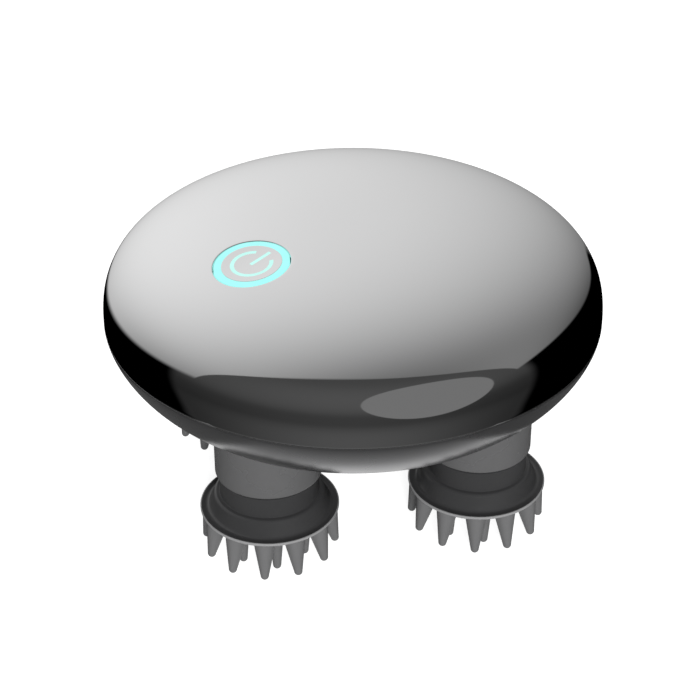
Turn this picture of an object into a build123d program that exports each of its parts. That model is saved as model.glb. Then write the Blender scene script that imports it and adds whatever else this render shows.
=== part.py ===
from build123d import *
import os
from math import acos, asin, cos, degrees, pi, radians, sin, tan

# Electric scalp massager, millimetres, +Z up. The origin is on the body's axis,
# in the plane that the longest teeth stand on.

# ---- Casing ----
body_radius = 60.0            # widest circle, at the seam
seam_height = 50.2            # middle of the gap between the two shells
dome_rise = 24.5              # seam to the top of the upper shell
bowl_depth = 21.4             # seam to the underside
dome_radial_power = 2.66
dome_axial_power = 2.86
bowl_radial_power = 4.0
bowl_axial_power = 1.5
curve_arcs = 7                # arcs that a shell's curve is drawn with
shell_wall = 2.2
seam_gap = 0.4
rim_round = 0.3
tongue_inset = 1.4            # tongue behind the dome's inner face
tongue_wall = 1.2
tongue_depth = 2.6
gasket_inset = 0.8
gasket_width = 1.1

# ---- Massage heads ----
head_count = 4
head_ring_radius = 36.0
first_head_azimuth = 45.0
neck_radius = 12.7
neck_wall = 1.9
neck_height = 23.35           # lower rim of a neck
neck_rim_round = 0.35
neck_cover = 2.0              # floor of a neck around the shaft
bush_boss_radius = 5.6
bush_boss_rise = 0.5          # bosses in the necks above the casing's floor

# ---- Claws ----
tooth_tip_radius = 1.0
outer_tooth_base_radius = 2.75
inner_tooth_base_radius = 1.9
tooth_root = 0.3              # teeth sunk into the flange
outer_tooth_count = 12
outer_tooth_ring = 15.5
outer_tooth_lift = 2.4        # outer tips above the inner ones
outer_tooth_lean = 12.2       # root leans in towards the claw's axis, degrees
outer_tooth_azimuth = -104.6
middle_tooth_count = 6
middle_tooth_ring = 8.6
middle_tooth_azimuth = -89.6
centre_tooth_count = 3
centre_tooth_ring = 3.1
flange_radius = 16.6
flange_height = 13.5          # rim of the flange
flange_thickness = 0.8
flange_edge = 0.35            # bevel under the flange's rim
lip_width = 1.7
lip_crown = 0.2               # lip above the rim and the dish
dish_drop = 0.15              # dish below the rim
shelf_radius = 13.2           # round shelf at the collar's foot
shelf_height = 17.1
shelf_rise = 0.5
collar_radius = 11.8
claw_gap = 0.6                # claw below the neck's rim
hub_radius = 9.0
hub_rib_radius = 9.9
hub_rib_height = 1.4
hub_height = 6.05
hub_floor = 1.2               # hub below the end of its shaft
hub_step = 0.7                # hub's top below the claw's top

# ---- Shafts, bushes and seals ----
shaft_radius = 2.5
shaft_over_bush = 2.2
bush_radius = 4.0
bush_flange_radius = 5.2
bush_flange = 0.9
bush_ledge = 0.6              # wall between a seal and the bush above it
seal_radius = 4.5
seal_height = 1.8
running_clearance = 0.03
fit_clearance = 0.02
seal_clearance = 0.05
clip_radius = 4.2
clip_thickness = 0.6
clip_groove = 0.4
clip_slot = 2.0

# ---- Gear train ----
pressure_angle = 25.0
addendum = 0.8
dedendum = 1.0
backlash = 0.08
head_module = 1.0
second_module = 0.6
motor_module = 0.5
sun_teeth = 48
head_gear_teeth = 24
final_pinion_teeth = 12
second_wheel_teeth = 48
second_pinion_teeth = 12
first_wheel_teeth = 50
motor_pinion_teeth = 10
drive_gear_bottom = 39.5
drive_gear_width = 5.0
second_wheel_width = 3.0
first_wheel_width = 2.5
gear_spacing = 0.6
gear_end_play = 0.2
gear_boss_radius = 4.5
sun_axle_radius = 2.0
idler_pin_radius = 1.5
pin_boss_radius = 3.6
idler_pin_seat = 6.0

# ---- Gearbox plate and motor bracket ----
plate_gap = 0.5               # plate above the drive gears
plate_thickness = 2.0
plate_clearance = 0.2         # plate inside the casing's screw bosses, and around its own screws
plate_pillar_azimuth = -20.0
plate_pillar_radius = 3.4
bracket_gap = 1.1             # bracket above the first wheel
bracket_thickness = 2.0
bracket_post_radius = 3.0
bracket_margin = 0.8          # bracket around the motor
bracket_arm_radius = 6.0      # bracket around the far idler pin
bracket_post_places = ((-12.0, 13.0), (-12.0, -13.0), (14.0, 18.5), (14.0, -18.5))

# ---- Motor ----
motor_radius = 12.0
motor_length = 12.4
motor_wall = 0.8
motor_cap_thickness = 1.5
motor_shaft_radius = 1.0
motor_shaft_drop = 5.6        # shaft below the bracket
magnet_thickness = 1.8
rotor_radius = 8.4
rotor_margin = 1.6
motor_screw_ring = 8.0

# ---- Battery ----
battery_length = 26.0
battery_width = 36.0
battery_height = 9.0
battery_inner_end = -18.6     # end towards the motor
tray_wall = 1.0
tray_gap = 0.2
tray_floor = 1.2
tray_foot_height = 2.2
tray_foot_radius = 2.0
tray_rim = 3.0                # side walls above the tray's floor

# ---- Main board, switch and lights ----
board_gap = 2.6               # board above the battery
board_thickness = 1.6
board_edge = -17.6            # straight edge beside the motor
board_post_radius = 2.5
board_post_places = ((-21.0, 38.0), (-21.0, -38.0), (-37.0, 22.6), (-37.0, -22.6))
switch_size = 6.0
switch_height = 2.4
switch_stem_radius = 1.7
light_count = 6
light_size = (1.6, 0.8, 0.7)
chip_size = 6.0
chip_places = ((-27.0, 14.0), (-38.0, 6.0))
chip_height = 1.0

# ---- Power button ----
button_ring_radius = 30.1
button_azimuth = -151.2
light_ring_radius = 8.85
light_ring_width = 1.85
button_clearance = 0.3
button_travel = 0.5
button_stop_gap = 0.3
carrier_flange_radius = 10.3
carrier_flange = 1.5
ring_edge = 1.24              # light ring's height where it is lowest
face_edge = 0.93              # face's thickness where it is thinnest
symbol_azimuth = 32.5         # direction that the symbol's stem points in
symbol_radius = 5.0
symbol_stroke = 0.9
symbol_gap_angle = 78.0
symbol_stem_start = -0.3
symbol_stem_end = 5.6

# ---- Charging socket ----
socket_azimuth = 30.0
charge_post_height = 5.3
charge_board_thickness = 1.0
charge_board_inset = 4.0      # board's end inside the casing's widest circle
charge_board_length = 14.5
charge_board_width = 12.0
charge_post_inset = 2.4       # post from the board's inner end
charge_post_radius = 1.9
socket_width = 8.94
socket_height = 3.26
socket_length = 7.3
socket_wall = 0.3
socket_recess = 0.5           # socket's mouth behind the board's end
socket_tongue = (6.7, 0.7)
port_margin = 0.5

# ---- Screws ----
shell_screw_ring = 48.8
shell_screw_drop = 9.0        # seam to the seat of a screw's head
shell_screw_length = 15.0
shell_screw_radius = 1.1
shell_screw_head_radius = 2.1
shell_screw_head_height = 2.0
shell_screw_clearance = 0.3
shell_boss_radius = 2.6
shell_foot_radius = 3.6
shell_foot_thickness = 2.4
plate_screw_radius = 1.1
plate_screw_head_radius = 2.2
plate_screw_head_height = 1.5
plate_screw_depth = 7.0
small_screw_radius = 0.8
small_screw_head_radius = 1.6
small_screw_head_height = 1.1
small_screw_depth = 4.0

# ---- Leads ----
lead_radius = 0.6
lead_bend = 1.2
lead_spacing = 2.4
motor_lead_rise = 1.4
lead_rise = 2.6               # top of the charging leads above the main board
lead_side = 30.0              # charging leads beside the motor
lead_climb = 5.0              # charging leads' upright start
lead_turn = 20.0              # where the charging leads level out
lead_gap = 0.5                # charging leads behind the socket
lead_landing = 2.5            # leads inside the main board's edge
motor_lead_inset = 6.0        # motor leads from the motor's axis
battery_lead_inset = 5.0      # battery leads inside the battery's corner

# ---- Worked out ----
floor_height = seam_height - bowl_depth
floor_top = floor_height + shell_wall
claw_top = neck_height - claw_gap
flange_bottom = flange_height - flange_thickness
hub_top = claw_top - hub_step
hub_bottom = hub_top - hub_height
shaft_bottom = hub_bottom + hub_floor
bush_bottom = neck_height + seal_height + bush_ledge
bush_boss_top = floor_top + bush_boss_rise
shell_screw_seat = seam_height - shell_screw_drop
shell_foot_top = shell_screw_seat + shell_foot_thickness
drive_gear_top = drive_gear_bottom + drive_gear_width
plate_bottom = drive_gear_top + plate_gap
plate_top = plate_bottom + plate_thickness
plate_radius = shell_screw_ring - shell_boss_radius - plate_clearance
plate_pillar_ring = plate_radius - plate_pillar_radius - plate_clearance
sun_pitch_radius = sun_teeth * head_module / 2
final_pinion_pitch_radius = final_pinion_teeth * head_module / 2
second_centres = (second_wheel_teeth + second_pinion_teeth) * second_module / 2
first_centres = (first_wheel_teeth + motor_pinion_teeth) * motor_module / 2
second_idler_x = sun_pitch_radius + final_pinion_pitch_radius
first_idler_x = second_idler_x - second_centres
motor_x = first_idler_x - first_centres
second_wheel_bottom = plate_top + 2 * gear_spacing
first_wheel_bottom = second_wheel_bottom + second_wheel_width + gear_spacing
bracket_bottom = first_wheel_bottom + first_wheel_width + bracket_gap
bracket_top = bracket_bottom + bracket_thickness
battery_floor = plate_top + tray_foot_height + tray_floor
battery_top = battery_floor + battery_height
board_bottom = battery_top + board_gap
board_top = board_bottom + board_thickness
charge_board_end = body_radius - charge_board_inset
charge_board_start = charge_board_end - charge_board_length
charge_board_bottom = plate_top + charge_post_height
charge_board_top = charge_board_bottom + charge_board_thickness


def polar(radius, azimuth, height=0.0):
    return radius * cos(radians(azimuth)), radius * sin(radians(azimuth)), height


def rod(radius, bottom, top, place=(0, 0)):
    """A vertical cylinder between two heights."""
    cylinder = Cylinder(radius, top - bottom, align=(Align.CENTER, Align.CENTER, Align.MIN))
    return Pos(place[0], place[1], bottom) * cylinder


def tube(outer, inner, bottom, top, place=(0, 0)):
    return rod(outer, bottom, top, place) - rod(inner, bottom, top, place)


def block(low, high):
    """A box from its lowest corner to its highest corner."""
    size = [b - a for a, b in zip(low, high)]
    return Pos(*low) * Box(*size, align=(Align.MIN, Align.MIN, Align.MIN))


def screw(place, seat, depth, radius, head_radius, head_height):
    """A screw that points down, its head standing on the height seat."""
    head = rod(head_radius, seat, seat + head_height, place)
    socket = rod(head_radius / 2, seat + head_height / 2, seat + head_height, place)
    return head - socket + rod(radius, seat - depth, seat, place)


def small_screw(place, seat):
    return screw(place, seat, small_screw_depth, small_screw_radius,
                 small_screw_head_radius, small_screw_head_height)


def plate_screw(place, seat):
    return screw(place, seat, plate_screw_depth, plate_screw_radius,
                 plate_screw_head_radius, plate_screw_head_height)


def head_places():
    turn = 360.0 / head_count
    return [polar(head_ring_radius, first_head_azimuth + turn * k)[:2] for k in range(head_count)]


def pillar_places():
    return [polar(plate_pillar_ring, plate_pillar_azimuth + 90 * k)[:2] for k in range(4)]


def shell_screw_places():
    return [polar(shell_screw_ring, 90 * k)[:2] for k in range(4)]


# ---- Casing shapes ----

def turned_oval(radius, rise, radial_power, axial_power):
    """Half of a flattened ball, standing on z = 0: (r / radius) ** radial_power
    + (z / rise) ** axial_power = 1, turned about the axis. The curve is drawn as
    arcs through its points, and the last one is a round cap about the axis."""
    points = []
    for k in range(2 * curve_arcs - 1):
        angle = radians(90.0 * k / (2 * curve_arcs))
        r = radius * cos(angle) ** (2 / radial_power)
        points.append((r, rise * sin(angle) ** (2 / axial_power)))
    curve = Curve()
    for k in range(0, 2 * curve_arcs - 2, 2):
        curve += ThreePointArc(points[k], points[k + 1], points[k + 2])
    cap_reach, cap_foot = points[-1]
    cap_rise = rise - cap_foot
    cap_centre = rise - (cap_reach ** 2 + cap_rise ** 2) / (2 * cap_rise)
    lean = asin(cap_reach / (rise - cap_centre)) / 2
    middle = (abs(rise - cap_centre) * sin(abs(lean)), cap_centre + (rise - cap_centre) * cos(lean))
    curve += ThreePointArc(points[-1], middle, (0, rise))
    face = make_face(Plane.XZ * (curve + Polyline((0, rise), (0, 0), (radius, 0))))
    return revolve(face, Axis.Z)


def dome(inset):
    """The solid under the upper shell's outer face, or under its inner face."""
    half = turned_oval(body_radius - inset, dome_rise - inset, dome_radial_power, dome_axial_power)
    return Pos(0, 0, seam_height) * half


def bowl(inset):
    """The solid above the lower shell's outer face, or above its inner face."""
    half = turned_oval(body_radius - inset, inset - bowl_depth, bowl_radial_power, bowl_axial_power)
    return Pos(0, 0, seam_height) * half


def dome_height(radius, inset=0.0):
    """Height of the dome at a distance from its axis."""
    share = (radius / (body_radius - inset)) ** dome_radial_power
    return seam_height + (dome_rise - inset) * (1 - share) ** (1 / dome_axial_power)


def level_edges(shape, height):
    """The edges that lie flat at a height."""
    boxes = [(edge, edge.bounding_box()) for edge in shape.edges()]
    return [e for e, box in boxes if abs(box.min.Z - height) + abs(box.max.Z - height) < 0.02]


def rim_edges(shape, height):
    """The outer circle of a shell's rim."""
    return max(level_edges(shape, height), key=lambda edge: edge.length)


def upper_shell():
    rim = seam_height + seam_gap / 2
    outer = dome(0) - rod(body_radius + 1, 0, rim)
    outer = fillet(rim_edges(outer, rim), rim_round)
    cavity = dome(shell_wall)
    for place in shell_screw_places():
        cavity -= rod(shell_boss_radius, rim, seam_height + dome_rise, place)
    shell = outer - cavity
    tongue_radius = body_radius - shell_wall - tongue_inset
    shell += tube(tongue_radius, tongue_radius - tongue_wall, rim - tongue_depth, rim + tongue_wall)
    shell += tube(body_radius - shell_wall / 2, tongue_radius - tongue_wall, rim, rim + tongue_wall)
    screw_end = shell_screw_seat + shell_screw_length + fit_clearance
    for place in shell_screw_places():
        shell += rod(shell_boss_radius, seam_height - seam_gap / 2, rim + 1, place)
        shell -= rod(shell_screw_radius + fit_clearance, seam_height - 1, screw_end, place)
    hole = light_ring_radius + button_clearance
    shell -= rod(hole, seam_height + shell_wall, seam_height + dome_rise + 1, button_place())
    return shell - port_hole()


def port_hole():
    """The rounded slot in the upper shell that the charging plug passes through."""
    width = socket_width + 2 * port_margin
    height = socket_height + 2 * port_margin
    profile = RectangleRounded(width, height, height / 2 - 0.05)
    centre_height = charge_board_top + socket_height / 2
    place = Rot(0, 0, socket_azimuth) * Pos(charge_board_end, 0, centre_height)
    return place * Rot(0, 90, 0) * Rot(0, 0, 90) * extrude(profile, shell_wall + port_margin + 3)


def lower_shell():
    rim = seam_height - seam_gap / 2
    outer = bowl(0) - rod(body_radius + 1, rim, seam_height + 1)
    outer = fillet(rim_edges(outer, rim), rim_round)
    for place in head_places():
        outer += rod(neck_radius, neck_height, drive_gear_bottom, place)
    outer = fillet(level_edges(outer, neck_height), neck_rim_round)
    shell = outer - lower_cavity()
    shell += rod(gear_boss_radius, floor_height + shell_wall / 2, sun_boss_top())
    shell += rod(pin_boss_radius, floor_height + shell_wall / 2, idler_boss_top(), (second_idler_x, 0))
    for place in head_places():
        bore = rod(bush_radius + fit_clearance, bush_bottom, plate_bottom, place)
        bore += rod(shaft_radius + 2 * seal_clearance, 0, plate_bottom, place)
        shell -= bore + rod(seal_radius + fit_clearance, 0, neck_height + seal_height, place)
    for place in pillar_places():
        bottom = plate_top - plate_screw_depth - fit_clearance
        shell -= rod(plate_screw_radius + fit_clearance, bottom, plate_bottom + 1, place)
    for place in shell_screw_places():
        bore = rod(shell_screw_radius + shell_screw_clearance, 0, seam_height + 1, place)
        recess = rod(shell_screw_head_radius + shell_screw_clearance, 0, shell_screw_seat, place)
        shell -= bore + recess
    shell -= rod(sun_axle_radius, floor_top, plate_bottom)
    return shell - rod(idler_pin_radius, idler_pin_bottom(), plate_bottom, (second_idler_x, 0))


def lower_cavity():
    """The lower shell's hollow, with the bosses in the necks, the pillars and the feet left standing."""
    cavity = bowl(shell_wall)
    for place in head_places():
        neck = rod(neck_radius - neck_wall, neck_height + neck_cover, plate_bottom, place)
        cavity += neck - rod(bush_boss_radius, neck_height, bush_boss_top, place)
    for place in pillar_places():
        cavity -= rod(plate_pillar_radius, floor_height, plate_bottom, place)
    for place in shell_screw_places():
        cavity -= rod(shell_foot_radius, floor_height, shell_foot_top, place)
        cavity -= rod(shell_boss_radius, floor_height, seam_height + 1, place)
    return cavity


def idler_boss_top():
    return drive_gear_bottom - gear_end_play


def idler_pin_bottom():
    return idler_boss_top() - idler_pin_seat


def sun_boss_top():
    return drive_gear_bottom - gear_spacing - gear_end_play


def seam_gasket():
    outer = body_radius - gasket_inset
    return tube(outer, outer - gasket_width, seam_height - seam_gap / 2, seam_height + seam_gap / 2)


def shell_screws():
    screws = []
    for place in shell_screw_places():
        head = rod(shell_screw_head_radius, shell_screw_seat - shell_screw_head_height,
                   shell_screw_seat, place)
        middle = shell_screw_seat - shell_screw_head_height / 2
        head -= rod(shell_screw_head_radius / 2, shell_screw_seat - shell_screw_head_height,
                    middle, place)
        end = shell_screw_seat + shell_screw_length
        screws.append(head + rod(shell_screw_radius, shell_screw_seat, end, place))
    return screws


# ---- Gears ----

def gear_radii(teeth, module):
    pitch = teeth * module / 2
    return pitch - dedendum * module, pitch, pitch + addendum * module


def gear_outline(teeth, module, clocking):
    """An involute gear's outline; a tooth is centred on the azimuth clocking."""
    root, pitch, tip = gear_radii(teeth, module)
    base = pitch * cos(radians(pressure_angle))
    pitch_half = pi / (2 * teeth) - backlash * module / (2 * pitch)
    pitch_roll = tan(radians(pressure_angle)) - radians(pressure_angle)
    flank = []
    start = max(base, root)
    for k in range(4):
        radius = start + (tip - start) * k / 3
        lean = acos(min(base / radius, 1.0))
        flank.append((radius, pitch_half + pitch_roll - (tan(lean) - lean)))
    if base > root:
        flank.insert(0, (root, flank[0][1]))
    points = []
    for tooth in range(teeth):
        middle = radians(clocking) + 2 * pi * tooth / teeth
        for radius, half in flank:
            points.append((radius * cos(middle - half), radius * sin(middle - half)))
        for radius, half in reversed(flank):
            points.append((radius * cos(middle + half), radius * sin(middle + half)))
    return make_face(Polyline(*points, close=True))


def gear(teeth, module, clocking, bottom, width, place=(0, 0)):
    return Pos(place[0], place[1], bottom) * extrude(gear_outline(teeth, module, clocking), width)


def meshing_clocking(teeth, clocking, other_teeth, azimuth):
    """The clocking of a gear that lies at an azimuth from another and is in mesh with it."""
    phase = (azimuth - clocking) * teeth / 360
    return azimuth + 180 - (0.5 - phase) * 360 / other_teeth


def head_clocking(azimuth):
    return meshing_clocking(sun_teeth, 0.0, head_gear_teeth, azimuth)


def second_clocking():
    return meshing_clocking(sun_teeth, 0.0, final_pinion_teeth, 0.0)


def first_clocking():
    return meshing_clocking(second_wheel_teeth, second_clocking(), second_pinion_teeth, 180.0)


def motor_clocking():
    return meshing_clocking(first_wheel_teeth, first_clocking(), motor_pinion_teeth, 180.0)


def sun_gear():
    wheel = gear(sun_teeth, head_module, 0.0, drive_gear_bottom, drive_gear_width)
    groove_outer = gear_radii(sun_teeth, head_module)[0] - 3
    for bottom in (drive_gear_bottom, drive_gear_top - 1.5):
        wheel -= tube(groove_outer, gear_boss_radius + 1.5, bottom, bottom + 1.5)
    wheel += rod(gear_boss_radius + 1.5, sun_boss_top() + gear_end_play, drive_gear_top + gear_end_play)
    return wheel - rod(sun_axle_radius + running_clearance, 0, plate_bottom)


def head_gear(place, azimuth):
    wheel = gear(head_gear_teeth, head_module, head_clocking(azimuth), drive_gear_bottom,
                 drive_gear_width, place)
    bottom = bush_boss_top + bush_flange + gear_end_play
    wheel += rod(gear_boss_radius, bottom, drive_gear_top + gear_end_play, place)
    return wheel - rod(shaft_radius, 0, plate_top, place)


def second_idler():
    place = (second_idler_x, 0)
    pinion_top = second_wheel_bottom
    idler = gear(final_pinion_teeth, head_module, second_clocking(), drive_gear_bottom,
                 pinion_top - drive_gear_bottom, place)
    idler += gear(second_wheel_teeth, second_module, second_clocking(), pinion_top,
                  second_wheel_width, place)
    idler += rod(pin_boss_radius, pinion_top, bracket_bottom - gear_end_play, place)
    return idler - rod(idler_pin_radius + running_clearance, 0, bracket_top, place)


def first_idler():
    place = (first_idler_x, 0)
    bottom = plate_top + gear_end_play
    idler = gear(second_pinion_teeth, second_module, first_clocking(), bottom,
                 first_wheel_bottom - bottom, place)
    idler += gear(first_wheel_teeth, motor_module, first_clocking(), first_wheel_bottom,
                  first_wheel_width, place)
    idler += rod(pin_boss_radius - 0.6, first_wheel_bottom, bracket_bottom - gear_end_play, place)
    return idler - rod(idler_pin_radius + running_clearance, 0, bracket_top, place)


def motor_pinion():
    place = (motor_x, 0)
    bottom = first_wheel_bottom - gear_spacing / 2
    top = bracket_bottom - gear_end_play
    pinion = gear(motor_pinion_teeth, motor_module, motor_clocking(), bottom, top - bottom, place)
    return pinion - rod(motor_shaft_radius, 0, top, place)


def idler_pins():
    return [rod(idler_pin_radius, idler_pin_bottom(), bracket_top, (second_idler_x, 0)),
            rod(idler_pin_radius, plate_bottom, bracket_top, (first_idler_x, 0))]


def sun_axle():
    return rod(sun_axle_radius, floor_top, plate_top)


# ---- Gearbox plate and motor bracket ----

def gearbox_plate():
    plate = rod(plate_radius, plate_bottom, plate_top)
    for place in bracket_post_places:
        plate += rod(bracket_post_radius, plate_top, bracket_bottom, place)
        bottom = bracket_top - plate_screw_depth - fit_clearance
        plate -= rod(plate_screw_radius + fit_clearance, bottom, bracket_bottom, place)
    for place in board_post_places:
        plate += rod(board_post_radius, plate_top, board_bottom, place)
        bottom = board_top - small_screw_depth - fit_clearance
        plate -= rod(small_screw_radius + fit_clearance, bottom, board_bottom, place)
    plate += rod(charge_post_radius, plate_top, charge_board_bottom, charge_post_place())
    bottom = charge_board_top - small_screw_depth - fit_clearance
    plate -= rod(small_screw_radius + fit_clearance, bottom, charge_board_bottom, charge_post_place())
    for place in head_places():
        plate -= rod(bush_radius + fit_clearance, plate_bottom, plate_top, place)
    for place in pillar_places():
        plate -= rod(plate_screw_radius + fit_clearance, plate_bottom, plate_top, place)
    plate -= rod(sun_axle_radius, plate_bottom, plate_top)
    plate -= rod(idler_pin_radius, plate_bottom, plate_top, (first_idler_x, 0))
    passage = gear_radii(final_pinion_teeth, head_module)[2] + gear_spacing
    return plate - rod(passage, plate_bottom, plate_top, (second_idler_x, 0))


def plate_screws():
    return [plate_screw(place, plate_top) for place in pillar_places()]


def motor_bracket():
    outline = Pos(motor_x, 0) * Circle(motor_radius + bracket_margin)
    outline += Pos(second_idler_x, 0) * Circle(bracket_arm_radius)
    for x, y in bracket_post_places:
        outline += Pos(x, y) * Circle(bracket_post_radius)
    bracket = Pos(0, 0, bracket_bottom) * extrude(make_hull(outline.edges()), bracket_thickness)
    for place in bracket_post_places:
        bracket -= rod(plate_screw_radius + fit_clearance, bracket_bottom, bracket_top, place)
    for place in motor_screw_places():
        bracket -= rod(small_screw_radius + fit_clearance, bracket_bottom, bracket_top, place)
    bracket -= rod(motor_shaft_radius + 1, bracket_bottom, bracket_top, (motor_x, 0))
    for x in (first_idler_x, second_idler_x):
        bracket -= rod(idler_pin_radius, bracket_bottom, bracket_top, (x, 0))
    return bracket


def bracket_screws():
    return [plate_screw(place, bracket_top) for place in bracket_post_places]


# ---- Shafts, bushes and seals ----

def head_shaft(place):
    top = plate_top + bush_flange + shaft_over_bush
    shaft = rod(shaft_radius, shaft_bottom, top, place)
    groove = tube(shaft_radius + 1, shaft_radius - clip_groove, clip_bottom(),
                  clip_bottom() + clip_thickness, place)
    return shaft - groove


def clip_bottom():
    return plate_top + bush_flange + gear_end_play


def retaining_clip(place):
    inner = shaft_radius - clip_groove + fit_clearance
    ring = tube(clip_radius, inner, clip_bottom(), clip_bottom() + clip_thickness, place)
    slot = block((0, -clip_slot / 2, clip_bottom()),
                 (clip_radius + 1, clip_slot / 2, clip_bottom() + clip_thickness))
    return ring - Pos(place[0], place[1], 0) * slot


def lower_bush(place):
    top = bush_boss_top
    bush = rod(bush_radius, bush_bottom, top, place)
    bush += rod(bush_flange_radius, top, top + bush_flange, place)
    return bush - rod(shaft_radius + running_clearance, 0, top + bush_flange, place)


def upper_bush(place):
    bush = rod(bush_radius, plate_bottom, plate_top, place)
    bush += rod(bush_flange_radius, plate_top, plate_top + bush_flange, place)
    return bush - rod(shaft_radius + running_clearance, 0, plate_top + bush_flange, place)


def shaft_seal(place):
    return tube(seal_radius, shaft_radius + seal_clearance, neck_height,
                neck_height + seal_height, place)


# ---- Claws ----

def hub_rib(radius, place):
    """The rib that holds a hub in its claw."""
    bottom = (hub_bottom + hub_top - hub_rib_height) / 2
    return rod(radius, bottom, bottom + hub_rib_height, place)


def claw_hub(place):
    hub = rod(hub_radius, hub_bottom, hub_top, place) + hub_rib(hub_rib_radius, place)
    hub += rod(bush_radius, hub_top, neck_height - gear_end_play, place)
    return hub - rod(shaft_radius, shaft_bottom, neck_height, place)


def claw_pocket():
    """The hollow of a claw that its hub fills."""
    pocket = rod(hub_radius + fit_clearance, hub_bottom, claw_top)
    return pocket + hub_rib(hub_rib_radius + fit_clearance, (0, 0))


def claw_body():
    """The dished flange and the collar of a claw, turned about its axis."""
    dish = (flange_radius - lip_width, flange_height - dish_drop)
    outside = Polyline((0, flange_bottom), (flange_radius - flange_edge, flange_bottom),
                       (flange_radius, flange_bottom + flange_edge), (flange_radius, flange_height))
    lip = ThreePointArc((flange_radius, flange_height),
                        (flange_radius - lip_width / 2, flange_height + lip_crown), dish)
    slope = Spline(dish, (shelf_radius, shelf_height), tangents=[(-1, 0.3), (-0.1, 1)])
    collar = Polyline((shelf_radius, shelf_height), (collar_radius, shelf_height + shelf_rise),
                      (collar_radius, claw_top), (0, claw_top), (0, flange_bottom))
    return revolve(make_face(Plane.XZ * (outside + lip + slope + collar)), Axis.Z)


def tooth(ring_radius, azimuth, base_radius, lift, lean):
    """A round-ended cone that hangs from the flange, its root leaning towards the
    claw's axis. It has its base radius at the flange's underside."""
    tip_height = lift + tooth_tip_radius
    length = (flange_bottom - tip_height) / cos(radians(lean))
    whole = 1.2 * length
    end_radius = tooth_tip_radius + 1.2 * (base_radius - tooth_tip_radius)
    cone = Cone(tooth_tip_radius, end_radius, whole, align=(Align.CENTER, Align.CENTER, Align.MIN))
    leaning = Rot(0, -lean, 0) * (cone + Sphere(tooth_tip_radius))
    above = rod(flange_radius, flange_bottom + tooth_root, claw_top)
    return Rot(0, 0, azimuth) * (Pos(ring_radius, 0, tip_height) * leaning - above)


def silicone_claw(place):
    claw = claw_body()
    for k in range(outer_tooth_count):
        azimuth = outer_tooth_azimuth + 360 * k / outer_tooth_count
        claw += tooth(outer_tooth_ring, azimuth, outer_tooth_base_radius, outer_tooth_lift,
                      outer_tooth_lean)
    for k in range(middle_tooth_count):
        azimuth = middle_tooth_azimuth + 360 * k / middle_tooth_count
        claw += tooth(middle_tooth_ring, azimuth, inner_tooth_base_radius, 0, 0)
    for k in range(centre_tooth_count):
        azimuth = middle_tooth_azimuth + 360 * k / centre_tooth_count
        claw += tooth(centre_tooth_ring, azimuth, inner_tooth_base_radius, 0, 0)
    return Pos(place[0], place[1], 0) * (claw - claw_pocket())


# ---- Motor ----

def motor_can():
    place = (motor_x, 0)
    top = bracket_top + motor_length - motor_cap_thickness
    can = rod(motor_radius, bracket_top, top, place)
    can -= rod(motor_radius - motor_wall, bracket_top + motor_wall, top, place)
    for screw_place in motor_screw_places():
        can -= rod(small_screw_radius + fit_clearance, bracket_top, bracket_top + motor_wall, screw_place)
    return can - rod(motor_shaft_radius + running_clearance, bracket_top, top, place)


def motor_end_cap():
    place = (motor_x, 0)
    bottom = bracket_top + motor_length - motor_cap_thickness
    cap = rod(motor_radius, bottom, bottom + motor_cap_thickness, place)
    return cap - rod(motor_shaft_radius + running_clearance, bottom, bottom + 1.0, place)


def motor_magnets():
    outer = motor_radius - motor_wall
    top = bracket_top + motor_length - motor_cap_thickness
    ring = tube(outer, outer - magnet_thickness, bracket_top + rotor_margin, top, (motor_x, 0))
    gap = block((motor_x - outer, -2.5, bracket_top), (motor_x + outer, 2.5, top))
    return ring - gap


def motor_rotor():
    place = (motor_x, 0)
    top = bracket_top + motor_length - motor_cap_thickness - rotor_margin
    core = rod(rotor_radius, bracket_top + motor_wall + rotor_margin, top, place)
    return core - rod(motor_shaft_radius, 0, top, place)


def motor_shaft():
    top = bracket_top + motor_length - motor_cap_thickness + 0.8
    return rod(motor_shaft_radius, bracket_bottom - motor_shaft_drop, top, (motor_x, 0))


def motor_screw_places():
    return [(motor_x, motor_screw_ring), (motor_x, -motor_screw_ring)]


def motor_screws():
    """Screws that point up through the bracket, their heads under it."""
    screws = []
    end = bracket_top + motor_wall
    for place in motor_screw_places():
        head = rod(small_screw_head_radius, bracket_bottom - small_screw_head_height,
                   bracket_bottom, place)
        screws.append(head + rod(small_screw_radius, bracket_bottom, end, place))
    return screws


# ---- Battery ----

def battery_box(margin, bottom, top):
    x = battery_inner_end
    return block((x - battery_length - margin, -battery_width / 2 - margin, bottom),
                 (x + margin, battery_width / 2 + margin, top))


def battery():
    cell = battery_box(0, battery_floor, battery_top)
    return fillet(cell.edges().filter_by(Axis.Z), 2.0)


def battery_tray():
    outer = tray_wall + tray_gap
    bottom = plate_top + tray_foot_height
    tray = battery_box(outer, bottom, battery_floor + tray_rim)
    tray -= battery_box(tray_gap, battery_floor, battery_floor + tray_rim)
    far = battery_inner_end - battery_length + 4
    for x in (battery_inner_end - 3, far):
        for y in (-battery_width / 2 + 9, battery_width / 2 - 9):
            tray += rod(tray_foot_radius, plate_top, bottom, (x, y))
    return tray


# ---- Main board ----

def main_board():
    reach = plate_radius - plate_clearance
    board = rod(reach, board_bottom, board_top)
    board -= block((board_edge, -reach, board_bottom), (reach, reach, board_top))
    for place in board_post_places:
        board -= rod(small_screw_radius + fit_clearance, board_bottom, board_top, place)
    return board


def board_screws():
    screws = [small_screw(place, board_top) for place in board_post_places]
    return screws + [small_screw(charge_post_place(), charge_board_top)]


def button_place():
    return polar(button_ring_radius, button_azimuth)[:2]


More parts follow.
